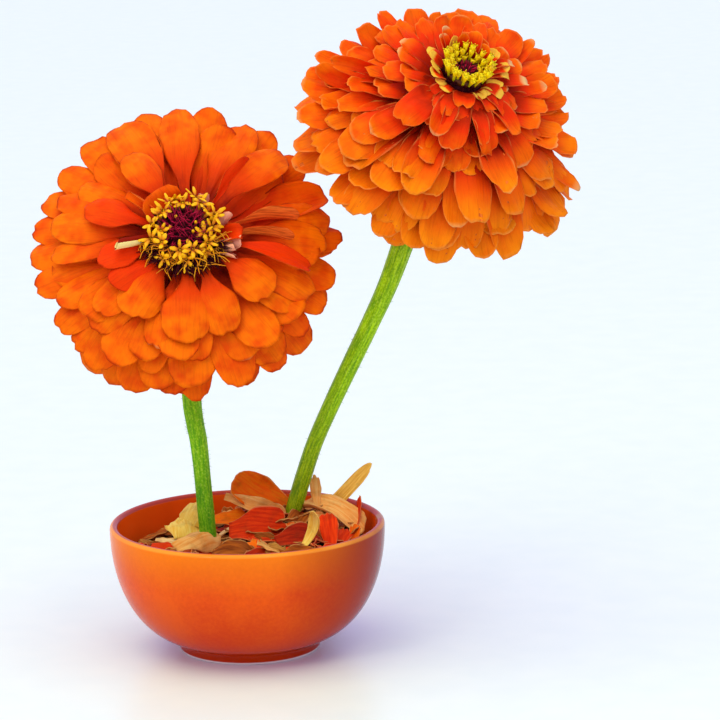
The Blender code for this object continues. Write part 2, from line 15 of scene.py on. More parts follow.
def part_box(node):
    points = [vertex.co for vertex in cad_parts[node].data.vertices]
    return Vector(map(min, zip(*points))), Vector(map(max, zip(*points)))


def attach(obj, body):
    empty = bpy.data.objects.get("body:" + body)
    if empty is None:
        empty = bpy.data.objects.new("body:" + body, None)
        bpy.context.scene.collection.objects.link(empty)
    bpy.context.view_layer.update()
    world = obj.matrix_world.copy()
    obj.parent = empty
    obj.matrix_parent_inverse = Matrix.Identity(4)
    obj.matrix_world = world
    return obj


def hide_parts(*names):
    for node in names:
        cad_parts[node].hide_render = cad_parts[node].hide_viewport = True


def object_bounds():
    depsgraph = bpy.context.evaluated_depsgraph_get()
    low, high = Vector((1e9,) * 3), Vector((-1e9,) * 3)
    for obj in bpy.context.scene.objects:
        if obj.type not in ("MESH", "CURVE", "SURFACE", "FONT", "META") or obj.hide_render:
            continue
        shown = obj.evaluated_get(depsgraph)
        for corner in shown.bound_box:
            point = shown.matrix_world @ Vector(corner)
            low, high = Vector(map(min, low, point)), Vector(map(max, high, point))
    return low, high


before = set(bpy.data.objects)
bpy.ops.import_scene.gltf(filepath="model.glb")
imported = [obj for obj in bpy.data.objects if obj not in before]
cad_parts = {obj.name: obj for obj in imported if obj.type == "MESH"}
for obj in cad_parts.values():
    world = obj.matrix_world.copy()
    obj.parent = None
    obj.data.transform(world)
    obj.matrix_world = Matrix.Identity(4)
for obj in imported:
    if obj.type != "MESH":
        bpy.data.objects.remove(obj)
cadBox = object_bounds()

mm = 0.001
goldenAngle = math.radians(137.50776)  # the turn from one petal to the next
print("frame loaded:", len(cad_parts), "nodes")


def linear(hexColour):  # sRGB hex, such as "#F36012", to linear red, green, blue, alpha
    parts = [int(hexColour[i : i + 2], 16) / 255 for i in (1, 3, 5)]
    curve = [c / 12.92 if c <= 0.04045 else ((c + 0.055) / 1.055) ** 2.4 for c in parts]
    return (*curve, 1.0)


def setInputs(node, inputs):  # each from a socket, a node's first output, a hex colour or a value
    pairs = inputs.items() if isinstance(inputs, dict) else enumerate(inputs)
    for socket, value in pairs:
        if isinstance(value, bpy.types.Node):
            value = next(output for output in value.outputs if output.enabled)
        if isinstance(value, bpy.types.NodeSocket):
            node.id_data.links.new(value, node.inputs[socket])
        else:
            node.inputs[socket].default_value = linear(value) if isinstance(value, str) else value


def addNode(tree, kind, inputs=(), **settings):  # a node with its settings and links
    node = tree.nodes.new("ShaderNode" + kind)
    for key, value in settings.items():
        if key == "stops":  # colour ramp: (place, colour) pairs
            ramp = node.color_ramp
            while len(ramp.elements) < len(value):
                ramp.elements.new(0.5)
            for element, (place, colour) in zip(ramp.elements, value):
                element.position = place
                element.color = linear(colour)
        else:
            setattr(node, key, value)
    setInputs(node, inputs)
    return node


def newMaterial(name, **sockets):
    # Constants go straight onto the shader's sockets. The third thing returned is addNode
    # for this material.
    material = bpy.data.materials.new(name)
    material.use_nodes = True
    shader = material.node_tree.nodes["Principled BSDF"]
    setInputs(shader, {key.replace("_", " "): value for key, value in sockets.items()})
    return material, shader, partial(addNode, material.node_tree)


def petalInputs(add):  # where each point is on its blade, and its tone
    where = add("Attribute", attribute_name="petalMm").outputs["Vector"]
    return where, add("Attribute", attribute_name="petalTone")


def addObject(name, data):
    thing = bpy.data.objects.new(name, data)
    bpy.context.scene.collection.objects.link(thing)
    return thing


def rampValue(share, stops):  # the value at this share of the way along even stops
    place = min(max(share, 0.0), 1.0) * (len(stops) - 1)
    index = min(int(place), len(stops) - 2)
    return stops[index] + (stops[index + 1] - stops[index]) * (place - index)


def smooth(value):
    t = np.clip(value, 0.0, 1.0)
    return t * t * (3.0 - 2.0 * t)


# A sheaf gathers many thin blades, tubes and cones into one mesh. Each point has
# "petalMm" (across in mm, along in mm, 1 on the upper face) and "petalTone":
# redness, which is below 0 where painted light lightens the petals at the bottom of a head,
# dryness, which is the share dried from the tip, or -1 for a rolled petal,
# 1 at the margin, and the share of the way along.
# Florets take the first two as how orange and how dark they are.


def newSheaf():
    return {"points": [], "faces": [], "petalMm": [], "petalTone": [], "count": 0, "blades": 0}


def addToSheaf(sheaf, points, faces, petalMm, petalTone):
    sheaf["points"].append(points)
    sheaf["faces"] += [[index + sheaf["count"] for index in face] for face in faces]
    sheaf["petalMm"].append(petalMm)
    sheaf["petalTone"].append(petalTone)
    sheaf["count"] += len(points)
    sheaf["blades"] += 1


def addAttribute(mesh, name, values, kind="FLOAT_COLOR", field="color"):
    attribute = mesh.attributes.new(name, kind, "POINT")
    attribute.data.foreach_set(field, np.array(values, dtype=np.float32).ravel())


def finishSheaf(name, sheaf, material, node, place=None):
    mesh = bpy.data.meshes.new(name)
    mesh.from_pydata(np.concatenate(sheaf["points"]).tolist(), [], sheaf["faces"])
    mesh.update()
    mesh.shade_smooth()
    addAttribute(mesh, "petalMm", np.concatenate(sheaf["petalMm"]), "FLOAT_VECTOR", "vector")
    addAttribute(mesh, "petalTone", np.concatenate(sheaf["petalTone"]))
    if place is not None:
        mesh.transform(place)
    dress(name, mesh, material, node)
    return mesh


def dress(name, mesh, material, node):  # the piece stands for a node and takes its finish slot
    mesh.materials.append(material)
    piece = addObject(name, mesh)
    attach(piece, "root")
    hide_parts(node)
    mesh.calc_loop_triangles()
    print(f"{name}: {len(mesh.loop_triangles)} triangles")


def gridFaces(rows, columns):  # upper face, lower face and rim of a closed blade
    size = rows * columns
    faces = []
    for i in range(rows - 1):
        for j in range(columns - 1):
            a = i * columns + j
            faces.append([a, a + 1, a + columns + 1, a + columns])
            faces.append([a + size + columns, a + size + columns + 1, a + size + 1, a + size])
    edge = list(range(columns))
    edge += [i * columns + columns - 1 for i in range(1, rows)]
    edge += [(rows - 1) * columns + j for j in range(columns - 2, -1, -1)]
    edge += [i * columns for i in range(rows - 2, 0, -1)]
    for a, b in zip(edge, edge[1:] + edge[:1]):
        faces.append([b, a, a + size, b + size])
    return faces


gridFaceStore = {}


# A blade is a petal, a scale or the lobe of a floret.
bladeDefaults = {
    "width": 14.0,  # mm
    "root": 0.16,  # width at the root, as a share of the full width
    "claw": 0.0,  # how much of the length stays that narrow
    "widest": 0.70,  # how far along the blade is widest
    "cap": 0.30,  # how much of the length the rounded tip takes
    "blunt": 2.3,  # 2 gives an ellipse at the tip, more gives a squarer one
    "notches": (),  # (place across, depth in mm) of each dent in the tip
    "cup": 0.16,  # how far the edges bend down, as a share of the half width
    "groove": 0.35,  # depth of the two lengthwise folds, mm
    "ruffle": 0.5,  # how far the margin waves, mm
    "wobble": 0.4,  # how far the whole blade waves, mm
    "fold": 0.0,  # degrees that each half folds up about the middle line
    "wrap": 0.0,  # degrees that the blade rolls up across its width
    "roll": 0.0,  # degrees of tilt about the middle line at the tip
    "lean": 0.0,  # degrees of tilt that the whole blade has
    "thickness": 0.42,  # mm
    "red": 0.3,  # how far the colour is turned to the redder one, or lightened by painted light if below 0
    "dry": 0.0,  # how much of the length has dried, from the tip, or -1 for a rolled petal
    "rows": 20,
    "columns": 15,
}


def bladeSurface(sheaf, spine, spec, draw):
    # spine(share) gives the middle line and two directions for an array of shares:
    # centre, beside and normal, each with three columns, and the length in mm.
    shape = {**bladeDefaults, **spec}
    rows, columns = shape["rows"], shape["columns"]
    reach = 0.5 * math.pi * 0.9
    across = np.sin(np.linspace(-reach, reach, columns)) / math.sin(reach)
    steps = np.sin(np.linspace(0.0, 0.5 * math.pi * 0.84, rows)) / math.sin(0.5 * math.pi * 0.84)
    length = shape["length"]
    ends = 1.0 - shape["cap"] * (1.0 - (1.0 - np.abs(across) ** shape["blunt"]) ** (1.0 / shape["blunt"]))
    for place, depth in shape["notches"]:
        ends -= depth / length * np.exp(-(((across - place) / 0.13) ** 2))
    begin = -shape.get("sunk", 0.0) / length
    along = begin + (ends[None, :] - begin) * steps[:, None]  # rows by columns
    v = np.broadcast_to(across[None, :], along.shape)
    inside = np.maximum(along, 0.0)
    half = 0.5 * shape["width"] * (
        shape["root"]
        + (1.0 - shape["root"]) * smooth((inside - shape["claw"]) / (shape["widest"] - shape["claw"]))
    )
    phase = [draw.uniform(0.0, 1.0) for _ in range(6)]
    belly = np.sin(np.pi * np.clip(inside, 0.0, 1.0)) ** 0.6
    relief = -shape["cup"] * half * v**2 * smooth(inside * 2.5)
    relief -= shape["groove"] * belly * (
        np.exp(-(((v - 0.36) / 0.15) ** 2)) + np.exp(-(((v + 0.36) / 0.15) ** 2))
    )
    relief += shape["wobble"] * smooth(inside * 1.8) * (
        0.6 * np.sin(2 * np.pi * (1.1 * inside + 0.35 * v + phase[0]))
        + 0.5 * np.sin(2 * np.pi * (0.55 * v - 0.9 * inside + phase[1]))
    )
    margin = np.maximum(np.abs(v) ** 4, smooth((inside / ends[None, :] - 0.72) / 0.28))
    relief += shape["ruffle"] * margin * smooth(inside * 2.0) * (
        0.6 * np.sin(2 * np.pi * (2.3 * inside + 0.8 * v + phase[2]))
        + 0.4 * np.sin(2 * np.pi * (1.9 * v + 1.4 * inside + phase[3]))
    )
    fold = np.radians(shape["fold"]) * smooth(inside * 3.0)
    sideways = v * half * np.cos(fold)
    relief = relief * np.cos(fold) + np.abs(v) * half * np.sin(fold)
    if shape["wrap"]:
        turned = math.radians(0.5 * shape["wrap"])
        sideways = half / turned * np.sin(v * turned)
        relief = half / turned * (1.0 - np.cos(v * turned)) + 0.3 * relief
    centre, beside, normal = spine(along)
    tilt = np.radians(shape["lean"] + shape["roll"] * inside)[..., None]
    side = beside * np.cos(tilt) + normal * np.sin(tilt)
    out = normal * np.cos(tilt) - beside * np.sin(tilt)
    upper = centre + side * (sideways * mm)[..., None] + out * (relief * mm)[..., None]
    rowWay = np.gradient(upper, axis=0)
    columnWay = np.gradient(upper, axis=1)
    face = np.cross(columnWay, rowWay)
    face /= np.maximum(np.linalg.norm(face, axis=2, keepdims=True), 1e-12)
    face *= np.where(np.sum(face * out, axis=2, keepdims=True) < 0, -1.0, 1.0)
    thin = shape["thickness"] * mm * (0.4 + 0.6 * (1.0 - margin))
    lower = upper - face * thin[..., None]
    flip = np.sum(np.cross(columnWay, rowWay) * out) > 0
    key = (rows, columns, bool(flip))
    if key not in gridFaceStore:
        faces = gridFaces(rows, columns)
        gridFaceStore[key] = faces if flip else [list(reversed(f)) for f in faces]
    edge = np.zeros(along.shape)
    edge[:, 0] = edge[:, -1] = edge[-1, :] = 1.0
    shift = 40.0 * sheaf["blades"]
    acrossMm = v * half + shift
    alongMm = along * length
    total = rows * columns
    petalMm = np.zeros((2 * total, 3))
    petalMm[:total, 0] = petalMm[total:, 0] = acrossMm.ravel()
    petalMm[:total, 1] = petalMm[total:, 1] = alongMm.ravel()
    petalMm[:total, 2] = 1.0
    petalTone = np.zeros((2 * total, 4))
    petalTone[:, 0] = shape["red"]
    petalTone[:, 1] = shape["dry"]
    petalTone[:, 2] = np.concatenate([edge.ravel()] * 2)
    petalTone[:, 3] = np.concatenate([np.clip(along, 0, 1).ravel()] * 2)
    points = np.concatenate([upper.reshape(-1, 3), lower.reshape(-1, 3)])
    addToSheaf(sheaf, points, gridFaceStore[key], petalMm, petalTone)


def bentSpine(root, outward, axis, length, start, finish, curl=0.0, sway=0.0):
    # A middle line that leaves root at start degrees from the axis and bends evenly
    # to finish, with curl more degrees near its tip. Lengths are in mm.
    fine = np.linspace(-0.15, 1.03, 120)
    angle = start + (finish - start) * fine + curl * np.clip((fine - 0.66) / 0.34, 0.0, None) ** 2
    angle = np.radians(angle)
    step = (fine[1] - fine[0]) * length
    out = np.concatenate([[0.0], np.cumsum(0.5 * step * (np.sin(angle[1:]) + np.sin(angle[:-1])))])
    up = np.concatenate([[0.0], np.cumsum(0.5 * step * (np.cos(angle[1:]) + np.cos(angle[:-1])))])
    out -= np.interp(0.0, fine, out)
    up -= np.interp(0.0, fine, up)
    root, outward, axis = np.array(root), np.array(outward), np.array(axis)
    beside = np.cross(outward, axis)

    def spine(share):
        swing = math.tan(math.radians(sway)) * length * share
        centre = (
            root
            + outward * (np.interp(share, fine, out) * mm)[..., None]
            + axis * (np.interp(share, fine, up) * mm)[..., None]
            + beside * (swing * mm)[..., None]
        )
        turn = np.interp(share, fine, angle)[..., None]
        normal = axis * np.sin(turn) - outward * np.cos(turn)
        return centre, np.broadcast_to(beside, centre.shape), normal

    return spine


def rayPetal(sheaf, petal, draw):  # a petal of a head, in the head's own frame
    clock = math.radians(petal["clock"])
    outward = (math.sin(clock), math.cos(clock), 0.0)
    root = np.array(outward) * petal["rootRadius"] * mm
    root[2] = petal["rootHeight"] * mm
    bends = [petal["start"], petal["finish"], petal.get("curl", 0.0), petal.get("sway", 0.0)]
    spine = bentSpine(root, outward, (0.0, 0.0, 1.0), petal["length"], *bends)
    bladeSurface(sheaf, spine, petal, draw)


def addTube(sheaf, route, radii, sides, tone=(0.0, 0.0), ribs=None):
    # A closed tube along a route, its rings square to the route. ribs(turn, share)
    # gives how much wider it is there.
    route = np.array(route, dtype=float)
    radii = np.broadcast_to(np.array(radii, dtype=float), (len(route),))
    ahead = np.gradient(route, axis=0)
    ahead /= np.linalg.norm(ahead, axis=1, keepdims=True)
    across = np.cross(ahead[0], (0.31, 0.85, 0.42))
    turn = np.linspace(0.0, 2.0 * math.pi, sides, endpoint=False)
    points, placeMm = [], []
    walked = 0.0
    shift = 40.0 * sheaf["blades"]
    for index, centre in enumerate(route):
        across = across - ahead[index] * across.dot(ahead[index])
        across /= np.linalg.norm(across)
        beside = np.cross(ahead[index], across)
        share = index / (len(route) - 1)
        radius = radii[index] * (1.0 + (ribs(turn, share) if ribs else 0.0 * turn))
        points.append(
            centre + (across * np.cos(turn)[:, None] + beside * np.sin(turn)[:, None]) * radius[:, None]
        )
        if index:
            walked += np.linalg.norm(centre - route[index - 1])
        here = np.zeros((sides, 3))
        here[:, 0] = turn * max(radii) / mm + shift
        here[:, 1] = walked / mm
        here[:, 2] = 1.0
        placeMm.append(here)
    faces = []
    for ring in range(len(route) - 1):
        for side in range(sides):
            following = (side + 1) % sides
            start, end = ring * sides, (ring + 1) * sides
            faces.append([start + side, start + following, end + following, end + side])
    faces.append(list(range(sides))[::-1])
    faces.append([(len(route) - 1) * sides + side for side in range(sides)])
    petalTone = np.zeros((len(route) * sides, 4))
    petalTone[:, 0], petalTone[:, 1] = tone
    petalTone[:, 3] = np.repeat(np.linspace(0.0, 1.0, len(route)), sides)
    addToSheaf(sheaf, np.concatenate(points), faces, np.concatenate(placeMm), petalTone)


def smoothRoute(points, steps):  # points along a Catmull-Rom curve through the given ones
    route = [np.array(point, dtype=float) for point in points]
    ends = [2 * route[0] - route[1], *route, 2 * route[-1] - route[-2]]
    found = []
    for before, first, second, after in zip(ends, ends[1:], ends[2:], ends[3:]):
        for t in np.arange(steps) / steps:
            found.append(
                0.5
                * (
                    2 * first
                    + (second - before) * t
                    + (2 * before - 5 * first + 4 * second - after) * t**2
                    + (3 * first - before - 3 * second + after) * t**3
                )
            )
    return np.array(found + [route[-1]])


camera = {
    "place": (0.042, -1.164, 0.3384),  # m
    "lens": 164.8,  # mm
    "sensor": 36.0,
    "pitch": -11.3,  # degrees, looking slightly down
    "roll": -1.0,
}


def makeCamera():
    lens = bpy.data.cameras.new("camera")
    lens.lens = camera["lens"]
    lens.sensor_width = camera["sensor"]
    lens.clip_start = 0.05
    lens.clip_end = 60.0
    eye = addObject("camera", lens)
    eye.matrix_world = (
        Matrix.Translation(Vector(camera["place"]))
        @ Matrix.Rotation(math.radians(90.0 + camera["pitch"]), 4, "X")
        @ Matrix.Rotation(math.radians(camera["roll"]), 4, "Z")
    )
    bpy.context.scene.camera = eye


bowl = {
    "lipRadius": 1.5,  # mm
    "footRadius": 25.6,
    "footHeight": 3.4,
    "footBevel": 0.6,
    "floorRadius": 13.0,
    "floorHeight": 6.0,
    "sides": 160,
    "glazeDeep": "#DA3600",
    "glazeBright": "#F25A00",
    "glazeShadedLow": "#B02000",  # painted shade, darker towards the foot
    "glazeLitUpper": "#FF8A00",  # painted light, lighter and yellower towards the lip
    "glazeShadedSide": "#8E1200",  # painted shade, darker on the right side
    "thinGlazeHighlight": "#FFA83A",  # painted highlight along the outer edge of the lip, where the glaze also runs thin
    # painted reflection: a pinkish tint on the top and inner edge of the lip
    "lipTopReflection": "#B23A34",
    "clay": "#B9754B",  # bare at a worn spot on the lip
    "footClay": "#E9D9CC",  # wiped clean of glaze where it stands
    "wiped": 0.9,  # mm up from the table
    "wornAt": (48.2, 4.0),  # mm from the bowl's middle
    # painted light: the brighter orange of the inside
    "inside": "#FF5A10",
    "speckle": 1.3,  # mm between the mottles
}


def bezier(start, first, second, end, steps):  # points of a cubic curve, without its last one
    t = np.arange(steps)[:, None] / steps
    corners = [np.array(corner) for corner in (start, first, second, end)]
    weights = ((1 - t) ** 3, 3 * t * (1 - t) ** 2, 3 * t**2 * (1 - t), t**3)
    return [tuple(point) for point in sum(w * c for w, c in zip(weights, corners))]


def bowlProfile(radius, height):  # from the middle of the foot round to the floor inside
    lip, foot, rise = bowl["lipRadius"], bowl["footRadius"], bowl["footHeight"]
    bevel, floorWide, floorHigh = bowl["footBevel"], bowl["floorRadius"], bowl["floorHeight"]
    inner, top = radius - 2 * lip, height - lip
    outside = ((foot + 3.2, rise + 1.3), (radius * 0.84, rise + 6.0), (radius, height * 0.54), (radius, top))
    inside = ((floorWide, floorHigh), (radius * 0.76, floorHigh), (inner - 0.6, height * 0.44), (inner, top))
    turns = [math.pi * step / 14 for step in range(15)]
    edge = [(radius - lip + lip * math.cos(turn), top + lip * math.sin(turn)) for turn in turns]
    base = [(0.0, 0.0), (foot - 6.0, 0.0), (foot - bevel, 0.0), (foot - 0.18 * bevel, 0.18 * bevel)]
    base += [(foot, bevel), (foot + 0.05, rise - 2.0), (foot + 0.25, rise - 1.1), (foot + 0.8, rise - 0.2)]
    base += [(foot + 1.8, rise + 0.6)]
    return base + bezier(*outside, 30) + edge + bezier(*inside, 30)[::-1] + [(0.0, floorHigh)]


def turned(profile, sides, closed=False):  # points and faces of a profile of (radius, height)
    points, faces, rings = [], [], []
    for radius, height in profile:
        if radius < 1e-9:
            rings.append([len(points)] * sides)
            points.append((0.0, 0.0, height))
            continue
        rings.append([len(points) + side for side in range(sides)])
        for side in range(sides):
            angle = 2.0 * math.pi * side / sides
            points.append((radius * math.cos(angle), radius * math.sin(angle), height))
    if closed:  # the profile is a loop
        rings.append(rings[0])
    for lower, upper in zip(rings, rings[1:]):
        for side in range(sides):
            following = (side + 1) % sides
            corners = [lower[side], lower[following], upper[following], upper[side]]
            faces.append(list(dict.fromkeys(corners)))
    return points, faces


def glazedStoneware(lipHeight):
    # Glazed stoneware: dipped in an opaque orange glaze and fired. The glaze is
    # glassy and slightly uneven. Painted light and shade make it lighter and yellower
    # towards the lip and darker towards the foot and on the right side, with a painted
    # highlight along the outer edge of the lip, where the glaze also runs thin.
    material, shader, add = newMaterial(
        "orangeGlazedStoneware",
        Roughness=0.2,
        IOR=1.52,
        Specular_IOR_Level=0.03,
        Coat_Weight=0.22,
        Coat_Roughness=0.06,
    )
    geometry = add("NewGeometry").outputs
    where, normal = geometry["Position"], geometry["Normal"]
    x, _, z = add("SeparateXYZ", (where,)).outputs
    mottle = add("TexNoise", {"Vector": where, "Scale": 1.0 / (bowl["speckle"] * mm), "Detail": 4.0})
    cloud = add("TexNoise", {"Vector": where, "Scale": 45.0, "Detail": 3.0})
    fine = add("MapRange", (mottle, 0.35, 0.7))
    broad = add("MapRange", (cloud, 0.3, 0.7, 0.15, 0.85))
    faint = add("Math", (fine, 0.35), operation="MULTIPLY")
    brighter = add("Math", (faint, broad), operation="ADD")
    # Painted shade: the glaze darkens towards the foot.
    shadedLow = add("MapRange", (z, 0.0, 0.62 * lipHeight, 0.8, 0.0))
    # Painted light: the glaze turns lighter and yellower towards the lip.
    litHigh = add("MapRange", (z, 0.66 * lipHeight, 0.98 * lipHeight, 0.0, 0.6))
    # Painted shade: the right side of the bowl is darker.
    shadedSide = add("MapRange", (x, 13 * mm, 47 * mm))
    high = add(
        "MapRange",
        (z, lipHeight - 1.5 * mm, lipHeight - 0.8 * mm, 0.0, 0.9),
        interpolation_type="SMOOTHSTEP",
    )
    # Painted highlight: a patchy light band along the outer edge of the lip.
    patchyHighlight = add("Math", (high, cloud), operation="MULTIPLY")
    # Painted light: the inside is a brighter, clearer orange, standing in for the light that bounces between
    # its walls.
    flat = add("VectorMath", (where, (1.0, 1.0, 0.0)), operation="MULTIPLY")
    radial = add("VectorMath", (flat,), operation="NORMALIZE")
    facing = add("VectorMath", (radial, normal), operation="DOT_PRODUCT")
    within = add("MapRange", (facing, -0.5, -0.1, 0.85, 0.0))
    # Painted reflection: the top and inner edge of the lip take a pinkish tint.
    level = add("MapRange", (facing, 0.1, 0.5, 1.0, 0.0))
    crest = add("Math", (level, high), operation="MULTIPLY")
    # One worn place on the lip shows the clay.
    wornAt = [place * mm for place in bowl["wornAt"]]
    gap = add("VectorMath", (where, (*wornAt, lipHeight)), operation="DISTANCE")
    ragged = add("Math", (mottle, 3.5 * mm, gap), operation="MULTIPLY_ADD")
    worn = add("MapRange", (ragged, 3.6 * mm, 6.0 * mm, 0.9, 0.0))
    wiped = add("MapRange", (z, 0.7 * bowl["wiped"] * mm, bowl["wiped"] * mm, 1.0, 0.0))
    layers = (
        (brighter, "glazeBright"),
        (shadedLow, "glazeShadedLow"),
        (litHigh, "glazeLitUpper"),
        (shadedSide, "glazeShadedSide"),
        (patchyHighlight, "thinGlazeHighlight"),
        (within, "inside"),
        (crest, "lipTopReflection"),
        (worn, "clay"),
        (wiped, "footClay"),
    )
    colour = bowl["glazeDeep"]
    for factor, over in layers:
        colour = add("Mix", {0: factor, 6: colour, 7: bowl[over]}, data_type="RGBA")
    bump = add("Bump", {"Height": cloud, "Strength": 0.25, "Distance": 0.6 * mm})
    fineBump = add("Bump", {"Height": mottle, "Strength": 0.12, "Distance": 0.1 * mm, "Normal": bump})
    setInputs(shader, {"Base Color": colour, "Normal": fineBump})
    return material


def makeBowl():
    lowest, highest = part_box("bowl")
    radius = 0.5 * (highest.x - lowest.x) / mm
    height = (highest.z - lowest.z) / mm
    profile = [(r * mm, h * mm + lowest.z) for r, h in bowlProfile(radius, height)]
    points, faces = turned(profile, bowl["sides"])
    mesh = bpy.data.meshes.new("glazedBowl")
    mesh.from_pydata(points, [], faces)
    mesh.update()
    mesh.shade_smooth()
    dress("glazedBowl", mesh, glazedStoneware(highest.z), "bowl")


# The foam block is out of sight under the dried petals.
foam = {"green": "#3E5A2C", "pale": "#5C7A41", "cell": 0.9}  # cells in mm


def phenolicFoam():
    # Phenolic floral foam: blown, then cut with a wire, so it is matt and open-celled.
    material, shader, add = newMaterial("cutPhenolicFoam", Roughness=0.95, IOR=1.45)
    where = add("NewGeometry").outputs["Position"]
    cells = add("TexVoronoi", {"Vector": where, "Scale": 1.0 / (foam["cell"] * mm)})
    colour = add("Mix", {0: cells, 6: foam["green"], 7: foam["pale"]}, data_type="RGBA")
    bump = add("Bump", {"Height": cells, "Strength": 0.8, "Distance": 0.3 * mm})
    setInputs(shader, {"Base Color": colour, "Normal": bump})
    return material


def finishFoam():
    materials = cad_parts["floral_foam"].data.materials
    if materials:
        materials[0] = phenolicFoam()
    else:
        materials.append(phenolicFoam())


stemJoint = 13.3  # mm from the top of a stem up to the head's origin, along its axis

stems = {
    "short": {
        "bright": "#98D600",
        "deep": "#58A400",
        "foot": "#7FA81D",
        "ribDepth": 0.03,
        "flare": 0.04,
        "hairs": 420,
        "seed": 31,
    },
    "tall": {
        "bright": "#B2DC00",
        "deep": "#6CA000",
        "foot": "#D8C020",
        "ribDepth": 0.07,
        "flare": 0.2,
        "hairs": 520,
        "seed": 32,
    },
    "ribs": 7,
    "plump": 1.1,  # how much fuller the living stem is than its core
    "pale": "#C6E244",  # the bases of the hairs
    "stipple": 0.75,  # mm between the small specks
    "hairLength": (0.6, 1.3),  # mm
    "hairRadii": (0.07, 0.015),  # at the foot and the tip
    "sides": 54,
}


def stemRings(node):  # the centre and radius of each ring of a stem, from its cut end up
    shape = bmesh.new()
    shape.from_mesh(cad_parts[node].data)
    bmesh.ops.remove_doubles(shape, verts=shape.verts, dist=1e-5)
    around = 9
    ring = sorted(shape.verts, key=lambda corner: corner.co.z)[:around]
    seen = set(ring)
    rings = []
    while len(ring) >= around:
        centre = sum((corner.co for corner in ring), Vector()) / len(ring)
        rings.append((centre, sum((corner.co - centre).length for corner in ring) / len(ring)))
        near = {edge.other_vert(corner) for corner in ring for edge in corner.link_edges}
        ring = sorted(near - seen, key=lambda corner: tuple(corner.co))
        seen.update(ring)
    shape.free()
    return rings


def headPlace(rings):  # X to the head's own right, Y up its face and Z out along its axis
    out = (rings[-1][0] - rings[-2][0]).normalized()
    right = Vector((0, 0, 1)).cross(out).normalized()
    turn = Matrix((right, out.cross(right), out)).transposed().to_4x4()
    return Matrix.Translation(rings[-1][0] + out * stemJoint * mm) @ turn


def hairyStem(name, colours):
    # A living zinnia stem: ribbed, juicy and covered in fine short hairs, so it is
    # half matt, and its green is broken into specks.
    material, shader, add = newMaterial(
        name,
        Roughness=0.5,
        IOR=1.42,
        Specular_IOR_Level=0.2,
        Subsurface_Weight=0.08,
        Subsurface_Radius=(0.6 * mm, 0.9 * mm, 0.3 * mm),
        Subsurface_Scale=1.0,
    )
    where, tone = petalInputs(add)
    streaks = add("VectorMath", (where, (1.1, 0.12, 1.0)), operation="MULTIPLY")
    lines = add("TexNoise", {"Vector": streaks, "Scale": 1.0, "Detail": 3.0})
    specks = add("TexNoise", {"Vector": where, "Scale": 1.0 / stems["stipple"], "Detail": 2.0})
    light = add("MapRange", (lines, 0.35, 0.65))
    dots = add("MapRange", (specks, 0.54, 0.66, 0.0, 0.5))
    pits = add("MapRange", (specks, 0.34, 0.46, 0.6, 0.0))
    low = add("MapRange", (tone.outputs["Alpha"], 0.12, 0.34, 0.8, 0.0))
    layers = (
        (light, colours["bright"], "MIX"),
        (dots, stems["pale"], "MIX"),
        (pits, colours["deep"], "MIX"),
        (low, colours["foot"], "MULTIPLY"),
    )
    colour = colours["deep"]
    for factor, over, blend in layers:
        inputs = {0: factor, 6: colour, 7: over}
        colour = add("Mix", inputs, data_type="RGBA", blend_type=blend)
    bump = add("Bump", {"Height": specks, "Strength": 0.5, "Distance": 0.12 * mm})
    setInputs(shader, {"Base Color": colour, "Normal": bump})
    return material


def makeStem(which):
    settings = stems[which]
    rings = stemRings(which + "_flower_stem")
    centres = smoothRoute([list(centre) for centre, radius in rings], 8)
    radii = np.interp(np.linspace(0, 1, len(centres)), np.linspace(0, 1, len(rings)), [r for c, r in rings])
    draw = random.Random(settings["seed"])
    phases = [draw.uniform(0.0, 6.28) for _ in range(4)]

    def ribs(turn, share):
        depth = settings["ribDepth"] * (0.6 + 1.2 * share**3)
        wave = np.cos(stems["ribs"] * turn + 0.8 * share + phases[0])
        swell = 0.02 * np.sin(9.0 * share + phases[1]) + 0.012 * np.sin(31.0 * share + phases[2])
        swell += settings["flare"] * share**5
        return depth * (wave - 0.3) + swell + 0.01 * np.sin(3.0 * turn + 17.0 * share + phases[3])

    sheaf = newSheaf()
    addTube(sheaf, centres, radii * stems["plump"], stems["sides"], ribs=ribs)
    ahead = np.gradient(centres, axis=0)
    for _ in range(settings["hairs"]):
        share = draw.uniform(0.2, 0.99)
        index = int(share * (len(centres) - 1))
        along = Vector(ahead[index]).normalized()
        across = along.orthogonal()
        across.rotate(Matrix.Rotation(draw.uniform(0.0, 6.283), 3, along))
        across = across.normalized()
        start = Vector(centres[index]) + across * radii[index] * stems["plump"] * 0.96
        way = (across + along * draw.uniform(-0.3, 0.9)).normalized()
        tip = start + way * draw.uniform(*stems["hairLength"]) * mm
        addTube(sheaf, [list(start), list(tip)], np.array(stems["hairRadii"]) * mm, 3)
    material = hairyStem(which + "HairyZinniaStem", settings)
    finishSheaf(which + "FlowerStem", sheaf, material, which + "_flower_stem")
    return headPlace(rings)


